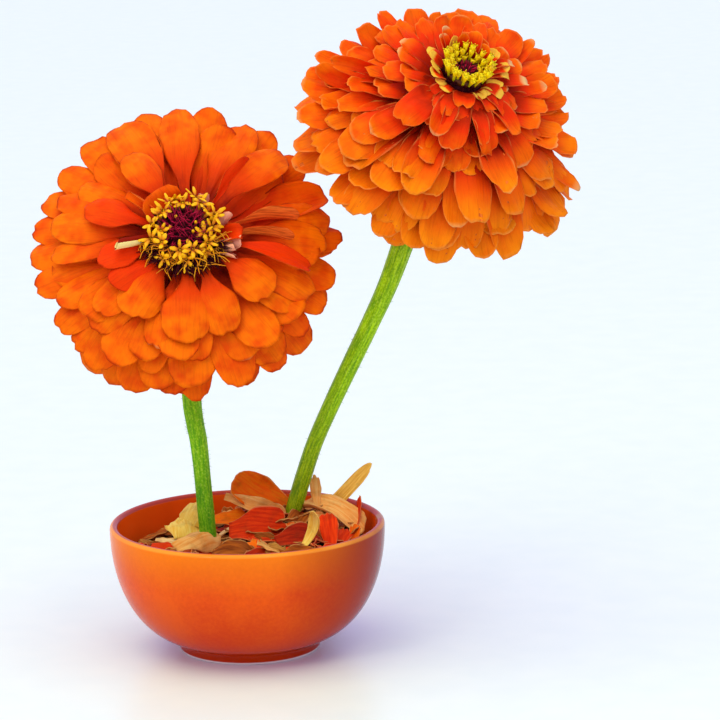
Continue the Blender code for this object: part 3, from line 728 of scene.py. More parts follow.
petalLooks = {
    "short": {
        "name": "velvetyZinniaPetal",
        "run": (0.22, 0.45, 0.76),  # where the claw, low and high colours are reached along it; the dark claw colour runs past the real red base as painted shade between the petals
        "claw": "#8E1604",  # at the narrow root
        "low": "#E23C00",
        "high": "#FF7200",
        "red": "#E82E00",
        # painted shade: a dark outline along each petal's margin
        "edge": "#A82800",
        "edgeShare": 0.75,
        "under": "#FF7426",
        "underStripe": "#B8400E",
        "dry": "#E0B070",
        "yellowed": "#F0C030",
        "scrollOutside": "#FFE28C",
        "pink": "#FFA880",
        "faded": "#FF8A00",
    },
    "tall": {
        "name": "creamEdgedZinniaPetal",
        # The dark claw colour runs far along, as painted shade where each petal comes out from under the
        # others, over its real redder base.
        "run": (0.44, 0.7, 0.94),
        "claw": "#8A1402",
        "low": "#EC3000",
        "high": "#FF7200",
        "red": "#F03000",
        # partly a pale dried margin and partly a painted highlight along it
        "edge": "#FFAA54",
        "edgeShare": 0.4,
        "under": "#F8742A",
        "underStripe": "#BC4812",
        "dry": "#E8B074",
        "yellowed": "#F4B83C",
        "scrollOutside": "#F2D49A",
        "pink": "#F2B9AC",
        "faded": "#FF9A08",  # painted light: what the petals at the bottom of the head turn to, towards the tip
    },
    "vein": 0.7,  # mm between the fine lengthwise veins
    "blotch": 6.0,  # mm across the soft patches of lighter and darker colour
}


def livingPetal(which):
    # A living zinnia petal: a thin moist blade under a layer of tiny cone-shaped
    # cells, which give it a velvety, saturated look with almost no shine.
    looks = petalLooks[which]
    material, shader, add = newMaterial(
        looks["name"],
        Roughness=0.6,
        IOR=1.36,
        Specular_IOR_Level=0.1,
        Subsurface_Weight=0.06,
        Subsurface_Radius=(1.0 * mm, 0.35 * mm, 0.08 * mm),
        Subsurface_Scale=1.0,
    )
    where, tone = petalInputs(add)
    upper = add("SeparateXYZ", (where,)).outputs[2]
    redness, dryness, margin = add("SeparateColor", (tone,)).outputs
    share = tone.outputs["Alpha"]
    stops = [(0.0, looks["claw"]), *zip(looks["run"], (looks["claw"], looks["low"], looks["high"]))]
    run = add("ValToRGB", (share,), stops=stops)
    patch = add("TexNoise", {"Vector": where, "Scale": 1.0 / petalLooks["blotch"], "Detail": 2.0})
    lengthwise = add("VectorMath", (where, (1.0, 0.07, 1.0)), operation="MULTIPLY")
    veins = add(
        "TexNoise",
        {"Vector": lengthwise, "Scale": 1.0 / petalLooks["vein"], "Detail": 3.0, "Roughness": 0.6},
    )
    deeper = add("MapRange", (patch, 0.4, 0.7, 0.0, 0.75))
    # Painted light: where redness is below 0, at the bottom of a head, petals turn lighter towards the tip.
    lightBelow = add("MapRange", (redness, 0.0, -1.0))
    outer = add("MapRange", (share, 0.55, 0.95))
    faded = add("Math", (lightBelow, outer), operation="MULTIPLY")
    veinDark = add("MapRange", (veins, 0.48, 0.75, 0.0, 0.24))
    # The margin colour is painted: a dark outline of shade on the short head, and a highlight over a pale
    # dried margin on the tall one.
    broken = add("MapRange", (patch, 0.42, 0.6, 0.1, looks["edgeShare"]))
    edging = add("Math", (margin, broken), operation="MULTIPLY")
    stripes = add("MapRange", (veins, 0.4, 0.62, 0.0, 0.85))
    reach = add("Math", (share, dryness), operation="ADD")
    withered = add("MapRange", (reach, 1.0, 1.1))
    yellowed = add("MapRange", (dryness, 0.2, 0.25))
    rolled = add("Math", (dryness, -0.5), operation="LESS_THAN")
    # Each colour is a mix of two others, named here or in the looks.
    colours = {"along": run}
    mixes = (
        ("body", deeper, "along", "low"),
        ("older", faded, "body", "faded"),
        ("reddened", redness, "older", "red"),
        ("veined", veinDark, "reddened", "claw"),
        ("edged", edging, "veined", "edge"),
        ("striped", stripes, "under", "underStripe"),
        ("sided", upper, "striped", "edged"),
        ("parched", yellowed, "dry", "yellowed"),
        ("dried", withered, "sided", "parched"),
        ("outside", redness, "scrollOutside", "pink"),
        ("scroll", upper, "outside", "claw"),
        ("final", rolled, "dried", "scroll"),
    )
    for name, factor, first, second in mixes:
        pair = [colours.get(key) or looks[key] for key in (first, second)]
        colours[name] = add("Mix", {0: factor, 6: pair[0], 7: pair[1]}, data_type="RGBA")
    bump = add("Bump", {"Height": veins, "Strength": 0.6, "Distance": 0.3 * mm})
    setInputs(shader, {"Base Color": colours["final"], "Normal": bump})
    return material


heads = {
    "short": {
        "petals": 68,
        "seed": 11,
        "turn": 20.0,
        # even stops from the middle of the head outwards, mm and degrees from the axis
        "rootRadius": [9.4, 9.0, 8.6],
        "rootHeight": [4.0, 1.2, -1.6],
        "length": [25.0, 31.5, 38.5, 45.0, 50.5, 53.5],
        "width": [13.0, 15.5, 16.5, 17.0, 17.0],
        "start": [58.0, 60.0, 63.0, 67.0, 72.0, 76.0],
        "finish": [84.0, 90.0, 99.0, 115.0, 137.0, 156.0],
        "coreRadius": 9.8,
        # outline of the cone that carries the petals: radius and height
        "core": ((7.6, -3.1), (8.4, -1.0), (9.8, 1.0), (9.8, 4.0), (9.7, 8.0)),
        "coreHeight": 8.0,
        "discRadius": 7.4,
        "discHeight": 5.6,
        # the least and most of what each petal draws for itself
        "cup": (0.05, 0.34),
        "ruffle": (0.3, 0.7),
        "wobble": (0.3, 0.6),
        "groove": (0.15, 0.75),
        "curl": (-10.0, 12.0),
        "dry": 0.04,  # share of the petals with a dry tip
        "placedUpTo": 0.42,  # share of the grown petals that placed ones stand for
        "tuckedUnder": 1.5,  # mm that the other grown petals sit lower
        "flatter": 16.0,  # degrees that they start further from the axis
        "fillLength": 0.93,  # and how much of their length they keep
        "faded": (0.0, 0.0, 0.0, 0.0, 0.0),
        "fillPaintedLightBelow": 0.0,
    },
    "tall": {
        "petals": 93,
        "seed": 5,
        "turn": 0.0,
        "rootRadius": [6.6, 7.2, 7.9, 8.6],
        "rootHeight": [14.5, 9.0, 3.5, -1.6],
        "length": [13.0, 19.0, 27.0, 36.5, 46.0, 54.0, 56.5],
        "width": [7.0, 10.0, 12.5, 14.5, 15.5],
        "start": [26.0, 40.0, 52.0, 61.0, 68.0, 73.0, 76.0],
        "finish": [54.0, 82.0, 105.0, 125.0, 144.0, 162.0, 170.0],
        "coreRadius": 7.2,
        "core": ((8.4, -3.1), (8.3, 0.0), (7.6, 6.0), (6.9, 12.0), (7.0, 16.0)),
        "coreHeight": 16.0,
        "discRadius": 4.2,
        "discHeight": 4.0,
        "cup": (-0.3, 0.4),
        "ruffle": (0.6, 1.3),
        "wobble": (0.5, 1.0),
        "groove": (0.1, 0.6),
        "curl": (-45.0, 30.0),
        "dry": 0.16,
        "placedUpTo": 0.5,
        "tuckedUnder": 1.0,
        "flatter": 18.0,
        "fillLength": 0.92,
        "faded": (0.0, 0.0, 0.1, 0.38, 0.52, 0.6, 0.6),  # painted light: how far each row is lightened where it hangs, at the bottom of the head
        "fillPaintedLightBelow": 0.55,
    },
    "rootSunk": 2.2,  # mm that each petal runs into the head's core
    "slim": 11.0,  # mm wide, below which petals wave less
    "long": 24.0,  # mm, above which a placed petal has the finer mesh
    "coreBottom": -3.1,
    "discGap": 0.3,  # mm between the core and the disc on it
}


def grownPetals(head):  # from the middle outwards, each a golden angle on from the last
    draw = random.Random(head["seed"])
    petals = []
    for index in range(head["petals"]):
        share = (index + 0.5) / head["petals"]
        clock = math.degrees(index * goldenAngle) + head["turn"] + draw.uniform(-5.0, 5.0)
        petals.append(
            {
                "share": share,
                "clock": clock % 360.0,
                "rootRadius": rampValue(share, head["rootRadius"]),
                "rootHeight": rampValue(share, head["rootHeight"]),
                "length": rampValue(share, head["length"]) * draw.uniform(0.93, 1.06),
                "width": rampValue(share, head["width"]) * draw.uniform(0.9, 1.1),
                "start": rampValue(share, head["start"]) + draw.uniform(-2.0, 2.0),
                "finish": rampValue(share, head["finish"]) + draw.uniform(-4.0, 4.0),
                "roll": draw.uniform(-5.0, 5.0),
                "sway": draw.uniform(-5.0, 5.0),
            }
        )
    return petals


# Each row's root radius, root height and start angle, and its claw, root and widest shares.
petalRows = {
    "short": {
        1: (9.4, 4.2, 57.0, 0.26, 0.24, 0.64),
        2: (9.2, 1.8, 72.0, 0.24, 0.26, 0.66),
        3: (8.9, -0.2, 82.0, 0.2, 0.26, 0.68),
        4: (8.6, -1.8, 90.0, 0.2, 0.26, 0.68),
    },
    "tall": {
        1: (6.8, 14.0, 30.0, 0.0, 0.5, 0.6),
        2: (6.9, 10.5, 58.0, 0.0, 0.5, 0.6),
        3: (7.4, 6.5, 83.0, 0.0, 0.45, 0.62),
        4: (7.9, 2.5, 89.0, 0.05, 0.4, 0.62),
        5: (8.4, -0.8, 94.0, 0.1, 0.36, 0.64),
        6: (8.6, -2.2, 101.0, 0.1, 0.36, 0.64),
    },
}

# The petals that show from the front, placed one by one. Each has its row, the
# clock angle, reach and height of its tip (degrees and mm in the head's frame), its
# width and redness, and anything that sets it apart. Grown petals fill in behind.
placedPetals = {
    "short": (
        (1, 183, 41, 3, 18, 0.0, {"cup": 0.35}),
        (1, 129, 37, 4, 15.5, 0.0, {"notches": ((0.5, 1.2), (-0.1, 0.6))}),
        (1, 217, 37, 4, 17, 0.05, {"cup": 0.45, "curl": -20}),
        (1, 224, 33, 7, 12, 0.9, {"notches": (), "sway": 13}),
        (1, 253, 34, 8, 11.5, 0.9, {"notches": ((0.5, 1.0), (-0.5, 0.8))}),
        (1, 289, 39, 6, 12.5, 0.75, {"cup": 0.3}),
        (1, 329, 40, 5, 13, 0.1, {"cup": 0.3}),
        (1, 322, 19, 12, 17, 0.4, {"cup": -0.3, "curl": 60, "claw": 0.0, "root": 0.7, "cap": 0.6}),
        (1, 306, 27, 9, 6, 0.2, {"wrap": 240, "lean": 20, "claw": 0.0, "root": 0.7}),
        (1, 45, 49, 0, 14.5, 0.05, {"notches": ()}),
        (1, 38, 37, 6, 10, 0.9, {"fold": 32, "lean": -25}),
        (1, 106, 44, 1, 9, 0.9, {"fold": 24, "lean": 14}),
        (1, 79, 39, 1, 13, 0.3, {"fold": 35, "lean": 66}),
        (1, 91, 36, 1, 12, 0.4, {"fold": 32, "lean": 72}),
        (
            1, 267, 26, 13, 10, 0.0,
            {
                "wrap": 300, "dry": -1.0, "lean": -88, "sway": -20, "claw": 0.0,
                "root": 0.7, "cap": 0.1, "notches": (),
            },
        ),
        (1, 98, 18, 13, 7, 0.9, {"cup": -0.8, "curl": 130, "claw": 0.0, "root": 0.5}),
        (1, 106, 19, 12, 5, 1.0, {"cup": -0.7, "dry": -1.0, "lean": 160, "claw": 0.0}),
        (1, 118, 18, 12, 4, 1.0, {"wrap": 200, "dry": -1.0, "lean": 120, "claw": 0.0}),
        (1, 72, 15, 13, 4.5, 1.0, {"cup": -0.6, "dry": -1.0, "lean": 90, "claw": 0.0, "curl": 80}),
        (1, 24, 14, 13, 4, 1.0, {"cup": -0.6, "dry": -1.0, "lean": 170, "claw": 0.0}),
        (1, 124, 20, 9, 4, 1.0, {"wrap": 220, "dry": -1.0, "lean": 60, "claw": 0.0}),
        (1, 161, 39, 1, 15.5, 0.0),
        (2, 172, 36, -2, 12, 0.3, {"claw": 0.0, "root": 0.75, "curl": 0}),
        (2, 197, 43, 0, 14, 0.1, {"notches": ((0.2, 1.2), (-0.5, 0.6))}),
        (2, 178, 45, -4, 12.5, 0.2),
        (2, 231, 43, 1, 12.5, 0.1, {"notches": ((-0.3, 1.4), (0.3, 0.6))}),
        (2, 228, 47, -3, 15, 0.0), (2, 125, 44, -3, 13, 0.0), (2, 114, 48, -4, 14, 0.05),
        (2, 281, 50, -1, 15, 0.0, {"notches": ()}),
        (2, 302, 45, 1, 13, 0.05), (2, 294, 51, -3, 12, 0.3), (2, 335, 57, -3, 18, 0.05),
        (2, 90, 49, -2, 14.5, 0.0), (2, 79, 52, -4, 15, 0.05),
        (2, 24, 54, -2, 16, 0.05, {"groove": 0.9}),
        (2, 357, 57, -3, 15, 0.1, {"groove": 0.9}),
        (3, 138, 46, -6, 14, 0.1), (3, 155, 48, -6, 15.5, 0.1), (3, 213, 52, -6, 17, 0.05),
        (3, 248, 51, -5, 14, 0.05), (2, 267, 49, -3, 10, 0.1), (3, 179, 49, -8, 14, 0.05),
        (3, 199, 49, -9, 12, 0.2),
        (3, 67, 54, -4, 15, 0.4, {"cup": -0.3}),
        (3, 51, 54, -3, 15, 0.3), (3, 33, 56, -4, 15, 0.15),
        (3, 10, 58, -4, 16, 0.15, {"groove": 0.9}),
        (3, 346, 58, -4, 15.5, 0.1), (3, 322, 58, -4, 16, 0.1), (3, 306, 57, -5, 14, 0.15),
        (3, 294, 57, -8, 14, 0.15), (3, 282, 57, -9, 14, 0.2), (3, 271, 57, -9, 15, 0.1),
        (3, 258, 56, -10, 14, 0.15), (3, 240, 55, -10, 14, 0.1), (3, 230, 54, -12, 13, 0.1),
        (3, 221, 55, -14, 15, 0.1), (3, 103, 53, -8, 16, 0.1), (3, 115, 53, -9, 14, 0.1),
        (3, 85, 55, -8, 14, 0.2), (3, 128, 52, -10, 12, 0.3), (3, 145, 54, -14, 14, 0.2),
        (3, 161, 54, -12, 16, 0.2), (4, 204, 55, -16, 17, 0.1), (4, 189, 53, -15, 15, 0.2),
        (4, 179, 54, -17, 13, 0.25),
    ),
    "tall": (
        (
            1, 216, 21.5, 13, 15, 0.25,
            {"start": 62, "cup": 0.2, "root": 0.5, "widest": 0.5, "cap": 0.5, "curl": 0, "ruffle": 1.4},
        ),
        (1, 243, 15, 10, 8, 0.6, {"start": 66, "cup": -0.2, "curl": 0}),
        (
            1, 204, 16.5, 15, 8.5, 0.2,
            {"start": 50, "cup": -0.3, "cap": 0.5, "curl": 0, "notches": ((0.0, 1.4),)},
        ),
        (1, 160, 17, 13, 8, 0.2, {"start": 58, "curl": 0}),
        (2, 221, 29, 10, 9.5, 0.2, {"fold": 26, "dry": 0.06, "curl": 0}),
        (2, 183, 27, 8, 6.5, 0.3, {"fold": 30, "curl": 0}),
        (1, 100, 17, 16, 4, 0.1, {"dry": 0.4}),
        (1, 62, 17, 19, 4.5, 0.1, {"dry": 0.15}),
        (1, 84, 20, 16, 4, 0.1, {"dry": 0.2, "fold": 20}),
        (1, 118, 14, 16, 4, 0.1, {"dry": 0.8}),
        (1, 135, 15, 14, 5, 0.2, {"dry": 0.3}),
        (1, 150, 12, 16, 4, 0.1, {"dry": 0.9}),
        (1, 168, 12, 15, 5, 0.2, {"dry": 0.6}),
        (1, 255, 13, 17, 4, 0.1, {"dry": 0.7}),
        (1, 286, 13, 20, 5, 0.1, {"dry": 0.6}),
        (1, 305, 14, 20, 4.5, 0.1, {"dry": 0.3}),
        (1, 18, 15, 23, 5, 0.1, {"cup": -0.4}),
        (1, 44, 15, 22, 5.5, 0.1, {"cup": -0.4}),
        (1, 125, 21, 9, 8.5, 0.2, {"start": 74, "dry": 0.05, "curl": 0}),
        (1, 108, 17, 13, 5.5, 0.2, {"start": 70, "dry": 0.1, "curl": 0}),
        (1, 140, 20.5, 10.5, 9.5, 0.2, {"start": 66, "curl": 0}),
        (1, 180, 17, 11, 6, 0.4, {"start": 66, "curl": 0, "dry": 0.04}),
        (1, 346, 17, 24, 5, 0.0, {"dry": 0.12, "cup": -0.4}),
        (1, 350, 12, 24, 4.5, 0.0, {"dry": 0.5, "cup": -0.4}),
        (1, 338, 15, 23, 5, 0.1, {"dry": 0.12, "cup": -0.4}),
        (1, 8, 12, 25, 5, 0.0, {"cup": -0.4}),
        (1, 31, 14, 25, 6, 0.0, {"cup": -0.4}),
        (1, 54, 12, 23, 5, 0.0, {"cup": -0.4}),
        (1, 70, 15, 21, 6, 0.0, {"cup": -0.4, "dry": 0.25}),
        (1, 320, 16, 19, 6, 0.0, {"dry": 0.25}),
        (1, 88, 17, 18, 6, 0.1, {"dry": 0.25}),
        (1, 270, 14, 18, 6, 0.1, {"dry": 0.25}),
        (1, 240, 13, 16, 5, 0.2, {"dry": 0.25}),
        (2, 99, 25, 14, 6.5, 0.21, {"dry": 0.2, "fold": 20}),
        (2, 272, 22, 12, 8.5, 0.07), (2, 288, 23, 14, 7.5, 0.14), (2, 294, 28, 10, 10.5, 0.07),
        (2, 254, 22, 10, 9.5, 0.28),
        (2, 227, 24, 8, 9, 0.42, {"curl": 0}),
        (2, 246, 31, 8, 12.5, 0.28),
        (2, 208, 29.5, 6, 10.5, 0.3, {"dry": 0.04, "curl": 0}),
        (2, 178, 29, 5, 8.5, 0.42, {"fold": 18, "ruffle": 1.6, "curl": 20}),
        (2, 163, 25, 10, 8.5, 0.35, {"dry": 0.05}),
        (2, 151, 27, 8, 8.5, 0.28),
        (2, 82, 24, 16, 8.5, 0.14, {"dry": 0.06}),
        (2, 66, 21, 18, 8.5, 0.14, {"dry": 0.06}),
        (2, 320, 26, 16, 8.5, 0.07, {"dry": 0.1}),
        (2, 305, 25, 16, 8.5, 0.07, {"dry": 0.08}),
        (3, 183, 28, 3, 11.5, 0.42), (3, 124, 31, 6, 11.5, 0.28),
        (3, 95, 34, 9, 7.5, 0.28, {"dry": 0.1, "fold": 30}),
        (3, 221, 30, 2, 11.5, 0.35, {"dry": 0.04}),
        (3, 287, 30, 5, 12.5, 0.14),
        (3, 252, 39, 2, 11.5, 0.21, {"dry": 0.05, "fold": 14}),
        (3, 216, 33, 0, 13.5, 0.28),
        (3, 152, 35, 0, 11.5, 0.21, {"dry": 0.05}),
        (3, 167, 36, -3, 11.5, 0.21), (3, 190, 32, -2, 11.5, 0.21), (3, 137, 33, 3, 10.5, 0.28),
        (3, 110, 33, 8, 9.5, 0.21), (3, 200, 32, -1, 10.5, 0.28), (3, 349, 39, 7, 9.5, 0.21),
        (3, 1, 37, 8, 9.5, 0.21), (3, 12, 36, 10, 8.5, 0.21), (3, 23, 37, 10, 10.5, 0.21),
        (3, 33, 38, 10, 9.5, 0.21), (3, 43, 38, 9, 9.5, 0.21), (3, 53, 42, 8, 12.5, 0.21),
        (3, 337, 38, 7, 10.5, 0.21), (3, 318, 34, 8, 10.5, 0.14), (3, 303, 34, 6, 11.5, 0.14),
        (4, 130, 40, 2, 11.5, 0.21, {"dry": 0.05}),
        (4, 227, 41, -3, 12.5, 0.07), (4, 266, 40, -1, 11.5, 0.14), (4, 278, 43, -1, 10.5, 0.14),
        (4, 290, 39, 2, 9.5, 0.14), (4, 256, 48, -5, 15.5, 0.07), (4, 311, 42, 4, 10.5, 0.14),
        (4, 240, 40, -4, 13.5, 0.07), (4, 161, 36, -8, 12.5, 0.21),
        (4, 182, 31, -7, 12.5, 0.21, {"dry": 0.05}),
        (4, 174, 34, -12, 8.5, 0.35),
        (4, 195, 44, -16, 11.5, 0.07, {"dry": 0.05}),
        (4, 211, 40, -8, 10.5, 0.14), (4, 233, 46, -10, 15.5, 0.07), (4, 150, 42, -10, 10.5, 0.14),
        (4, 140, 45, -8, 11.5, 0.07), (4, 119, 40, 3, 10.5, 0.14),
        (4, 61, 45, 8, 7.5, 0.28, {"dry": 0.05, "cap": 0.6}),
        (4, 346, 48, 4, 9.5, 0.28, {"cap": 0.6}),
        (4, 3, 47, 3, 12.5, 0.28), (4, 14, 44, 4, 11.5, 0.21), (4, 21, 45, 4, 11.5, 0.21),
        (4, 28, 50, 3, 12.5, 0.21), (4, 37, 52, 3, 11.5, 0.21),
        (4, 41, 54, 5, 9.5, 0.21, {"dry": 0.12, "curl": 80}),
        (4, 72, 43, 6, 11.5, 0.21), (4, 85, 42, 4, 11.5, 0.21), (5, 218, 43, -14, 13, 0.1),
        (5, 153, 42, -16, 12, 0.1), (5, 287, 47, -8, 13, 0.1), (5, 243, 47, -15, 15, 0.1),
        (5, 221, 49, -21, 15, 0.05), (5, 203, 48, -24, 14, 0.1), (5, 189, 48, -24, 15, 0.1),
        (5, 170, 44, -21, 17, 0.05), (5, 239, 53, -20, 15, 0.05), (5, 258, 51, -16, 16, 0.1),
        (5, 271, 51, -14, 15, 0.1),
        (5, 284, 53, -14, 14, 0.1, {"dry": 0.04}),
        (5, 299, 53, -11, 13, 0.1, {"dry": 0.04}),
        (5, 302, 47, -5, 11, 0.2),
        (5, 308, 52, -2, 9, 0.3, {"dry": 0.03, "fold": 18}),
        (4, 303, 46, 4, 8, 0.3, {"fold": 30, "lean": 60}),
        (5, 300, 51, -2, 9, 0.3, {"fold": 24, "lean": 62}),
        (5, 138, 51, -21, 14, 0.1),
        (5, 125, 53, -16, 8, 0.3, {"dry": 0.08, "cap": 0.7}),
        (5, 128, 49, -14, 13, 0.2), (5, 112, 48, -9, 12, 0.2),
        (5, 104, 49, -8, 9, 0.2, {"dry": 0.1}),
        (5, 96, 46, -4, 12, 0.3), (5, 88, 47, -2, 11, 0.3), (5, 77, 48, 1, 11, 0.3),
        (5, 66, 50, 3, 12, 0.3), (5, 335, 47, 0, 12, 0.3), (5, 326, 48, -2, 12, 0.3),
        (6, 199, 51, -28, 14, 0.1), (6, 211, 48, -26, 14, 0.2), (6, 225, 50, -25, 13, 0.2),
        (6, 247, 52, -22, 14, 0.15), (6, 271, 46, -14, 12, 0.1), (6, 307, 53, -9, 11, 0.3),
        (6, 145, 50, -26, 14, 0.1), (6, 154, 46, -25, 14, 0.2), (6, 164, 45, -27, 13, 0.2),
        (6, 180, 48, -27, 14, 0.15), (6, 132, 50, -23, 13, 0.15), (6, 118, 50, -16, 12, 0.2),
    ),
}


def hanging(clock):  # 1 at the bottom of a head, where its petals hang, and 0 at the top
    return 0.5 - 0.5 * math.cos(math.radians(clock))


def placedPetal(which, row, clock, reach, height, width, red, own=None):
    own = own or {}
    rootRadius, rootHeight, start, claw, root, widest = petalRows[which][row]
    start = own.get("start", start)
    out, up = reach - rootRadius, height - rootHeight
    bend = 2.0 * (math.degrees(math.atan2(out, up)) - start)
    half = max(abs(math.radians(0.5 * bend)), 0.001)
    return {
        "clock": clock,
        "rootRadius": rootRadius,
        "rootHeight": rootHeight,
        "start": start,
        "finish": start + bend,
        "length": math.hypot(out, up) * half / math.sin(half),
        "width": width,
        "claw": claw,
        "root": root,
        "widest": widest,
        "cap": 0.34,
        "blunt": 2.6,
        # painted light lightens the petals at the bottom of the head
        "red": red - heads[which]["faded"][row] * hanging(clock),
        **own,
    }


def tipNotches(draw):  # a zinnia petal ends in two or three shallow teeth
    count = draw.choice((0, 1, 2, 2, 3))
    return [(draw.uniform(-0.55, 0.55), draw.uniform(0.3, 1.1)) for _ in range(count)]


def makePetals(which, place):
    head = heads[which]
    draw = random.Random(head["seed"] + 100)
    sheaf = newSheaf()
    petals = []
    for petal in grownPetals(head):
        if petal["share"] > head["placedUpTo"]:
            petal["rootHeight"] -= head["tuckedUnder"]
            petal["start"] += head["flatter"]
            petal["finish"] -= 0.5 * head["flatter"]
            petal["length"] *= head["fillLength"]
            petal["red"] = draw.uniform(0.0, 0.45) * (1.2 - petal["share"])
            # Painted light lightens the filling petals at the bottom of the head.
            petal["red"] -= head["fillPaintedLightBelow"] * hanging(petal["clock"])
            petals.append(petal)
    petals += [placedPetal(which, *values) for values in placedPetals[which]]
    for petal in petals:
        finish = {
            "sunk": heads["rootSunk"],
            "notches": tipNotches(draw),
            "cup": draw.uniform(*head["cup"]),
            "groove": draw.uniform(*head["groove"]),
            "ruffle": draw.uniform(*head["ruffle"]),
            "wobble": draw.uniform(*head["wobble"]),
            "dry": draw.uniform(0.01, 0.04) if draw.random() < head["dry"] else 0.0,
            "curl": draw.uniform(*head["curl"]),
            "roll": draw.uniform(-12.0, 12.0),
        }
        slim = min(petal["width"] / heads["slim"], 1.0) ** 2
        for key in ("ruffle", "wobble"):
            finish[key] *= slim
        finish["notches"] = [(side, depth * slim) for side, depth in finish["notches"]]
        fine = petal["length"] > heads["long"] and "share" not in petal
        finish["rows"], finish["columns"] = (18, 13) if fine else (13, 9)
        rayPetal(sheaf, {**finish, **petal}, draw)
    finishSheaf(which + "FlowerPetals", sheaf, livingPetal(which), which + "_flower_petals", place)


def leaning(outward, tilt):  # a direction tilted outwards from a head's axis
    return outward * math.sin(tilt) + np.array([0.0, 0.0, math.cos(tilt)])


def addLathe(sheaf, profile, sides, closed=False):  # turned about a head's axis, in mm
    points, faces = turned([(r * mm, h * mm) for r, h in profile], sides, closed)
    points = np.array(points)
    petalMm = points / mm
    if not closed:
        around = np.arctan2(points[:, 1], points[:, 0]) * 8.0
        petalMm = np.column_stack([around, points[:, 2] / mm, np.ones(len(points))])
    petalTone = np.zeros((len(points), 4))
    petalTone[:, 1] = closed  # a ring is dark all over
    addToSheaf(sheaf, points, faces, petalMm, petalTone)


calyx = {
    "green": "#5C9A1E",
    "pale": "#A6C83E",
    "rim": "#2C1608",  # the dark fringe of each scale
    # height up the head's axis and radius where each row of scales starts, mm,
    # how many scales it has, their length, and their start and finish angles
    "rows": (
        (-12.5, 4.7, 7, 6.3, 74.0, 20.0),
        (-11.2, 6.6, 8, 6.5, 52.0, 12.0),
        (-9.3, 7.6, 9, 6.6, 36.0, 10.0),
        (-7.1, 8.4, 10, 6.0, 25.0, 8.0),
    ),
    # radius and height of the cup that the scales stand on, from above the stem
    "cup": ((5.8, -10.8), (7.6, -8.2), (8.4, -5.4), (8.4, -3.6), (8.0, -3.4), (0.0, -3.4)),
    "overlap": 1.3,  # how much wider each scale is than its share of the row
    "scale": {
        "root": 0.7,
        "widest": 0.5,
        "cap": 0.5,
        "cup": -0.22,
        "groove": 0.05,
        "ruffle": 0.15,
        "wobble": 0.1,
        "thickness": 0.6,
        "rows": 9,
        "columns": 9,
    },
}


def waxyBract(name):
    # Zinnia bracts: tough green scales with a waxy skin and a dark dry fringe.
    material, shader, add = newMaterial(name, Roughness=0.5, IOR=1.44, Specular_IOR_Level=0.2)
    where, tone = petalInputs(add)
    lengthwise = add("VectorMath", (where, (1.6, 0.2, 1.0)), operation="MULTIPLY")
    veins = add("TexNoise", {"Vector": lengthwise, "Scale": 1.0, "Detail": 3.0})
    fringe = add("MapRange", (tone.outputs["Alpha"], 0.8, 0.94, 0.0, 0.9))
    colour = calyx["green"]
    for factor, over in ((veins, "pale"), (fringe, "rim")):
        colour = add("Mix", {0: factor, 6: colour, 7: calyx[over]}, data_type="RGBA")
    bump = add("Bump", {"Height": veins, "Strength": 0.5, "Distance": 0.2 * mm})
    setInputs(shader, {"Base Color": colour, "Normal": bump})
    return material


def makeCalyx(which, place, stemWidth):
    sheaf = newSheaf()
    foot = [(0.0, -13.0), (stemWidth, -13.0), (stemWidth + 0.6, -12.6)]
    addLathe(sheaf, [*foot, *calyx["cup"]], 32)
    draw = random.Random(heads[which]["seed"] + 200)
    for row, (height, radius, count, length, start, finish) in enumerate(calyx["rows"]):
        for index in range(count):
            scale = {
                "clock": 360.0 * (index + 0.5 * (row % 2) + draw.uniform(-0.08, 0.08)) / count,
                "rootRadius": radius,
                "rootHeight": height,
                "length": length * draw.uniform(0.92, 1.08),
                "width": 2.0 * math.pi * (radius + 1.0) / count * calyx["overlap"],
                "start": start,
                "finish": finish,
                **calyx["scale"],
            }
            rayPetal(sheaf, scale, draw)
    material = waxyBract(which + "WaxyBract")
    finishSheaf(which + "FlowerCalyx", sheaf, material, which + "_flower_calyx", place)


disc = {
    "aside": {"short": (-1.9, 0.3, 0.0), "tall": (0.0, 0.0, 0.0)},  # mm off the middle of the head
    "maroon": "#4A0818",
    "deep": "#160406",
    # painted highlight on the tips of the scales
    "magenta": "#E0204E",
    "short": {"scales": 250, "length": 4.8, "radius": 0.22, "twist": 1.1},
    "tall": {"scales": 60, "length": 2.6, "radius": 0.26, "twist": 0.45},
    # dark chaff between the florets and the petals, which also stands as painted shade in the gap there:
    # how many pieces, the clock angles between which they stand, their length in mm,
    # and how far from the axis they lean
    "chaff": {
        "short": ((210, 110, 250, 9.0, 80), (60, 250, 470, 3.6, 62)),
        "tall": ((36, 150, 300, 3.0, 60), (30, 300, 510, 2.6, 50)),
    },
    "domeShare": 0.72,  # of the disc's height, under its scales
    "chaffRadius": 0.42,
    # how thick a scale and a piece of chaff are along their length
    "scaleTaper": (1.0, 1.15, 1.0, 0.8, 0.55, 0.12),
    "chaffTaper": (1.0, 1.3, 1.2, 0.9, 0.5, 0.15),
}


def fringedScale(name):
    # The chaffy scales of a zinnia's disc: stiff, dark maroon and feathered. Their
    # tips turn a lighter magenta, a painted highlight where they catch the light.
    material, shader, add = newMaterial(name, Roughness=0.6, IOR=1.45, Specular_IOR_Level=0.08)
    where, tone = petalInputs(add)
    redness = add("SeparateColor", (tone,)).outputs[0]
    grain = add("TexNoise", {"Vector": where, "Scale": 0.9, "Detail": 3.0})
    tip = add("MapRange", (tone.outputs["Alpha"], 0.3, 0.8))
    lit = add("Math", (tip, redness), operation="MULTIPLY")
    colour = disc["deep"]
    for factor, over in ((grain, "maroon"), (lit, "magenta")):
        colour = add("Mix", {0: factor, 6: colour, 7: disc[over]}, data_type="RGBA")
    bump = add("Bump", {"Height": grain, "Strength": 0.6, "Distance": 0.2 * mm})
    setInputs(shader, {"Base Color": colour, "Normal": bump})
    return material


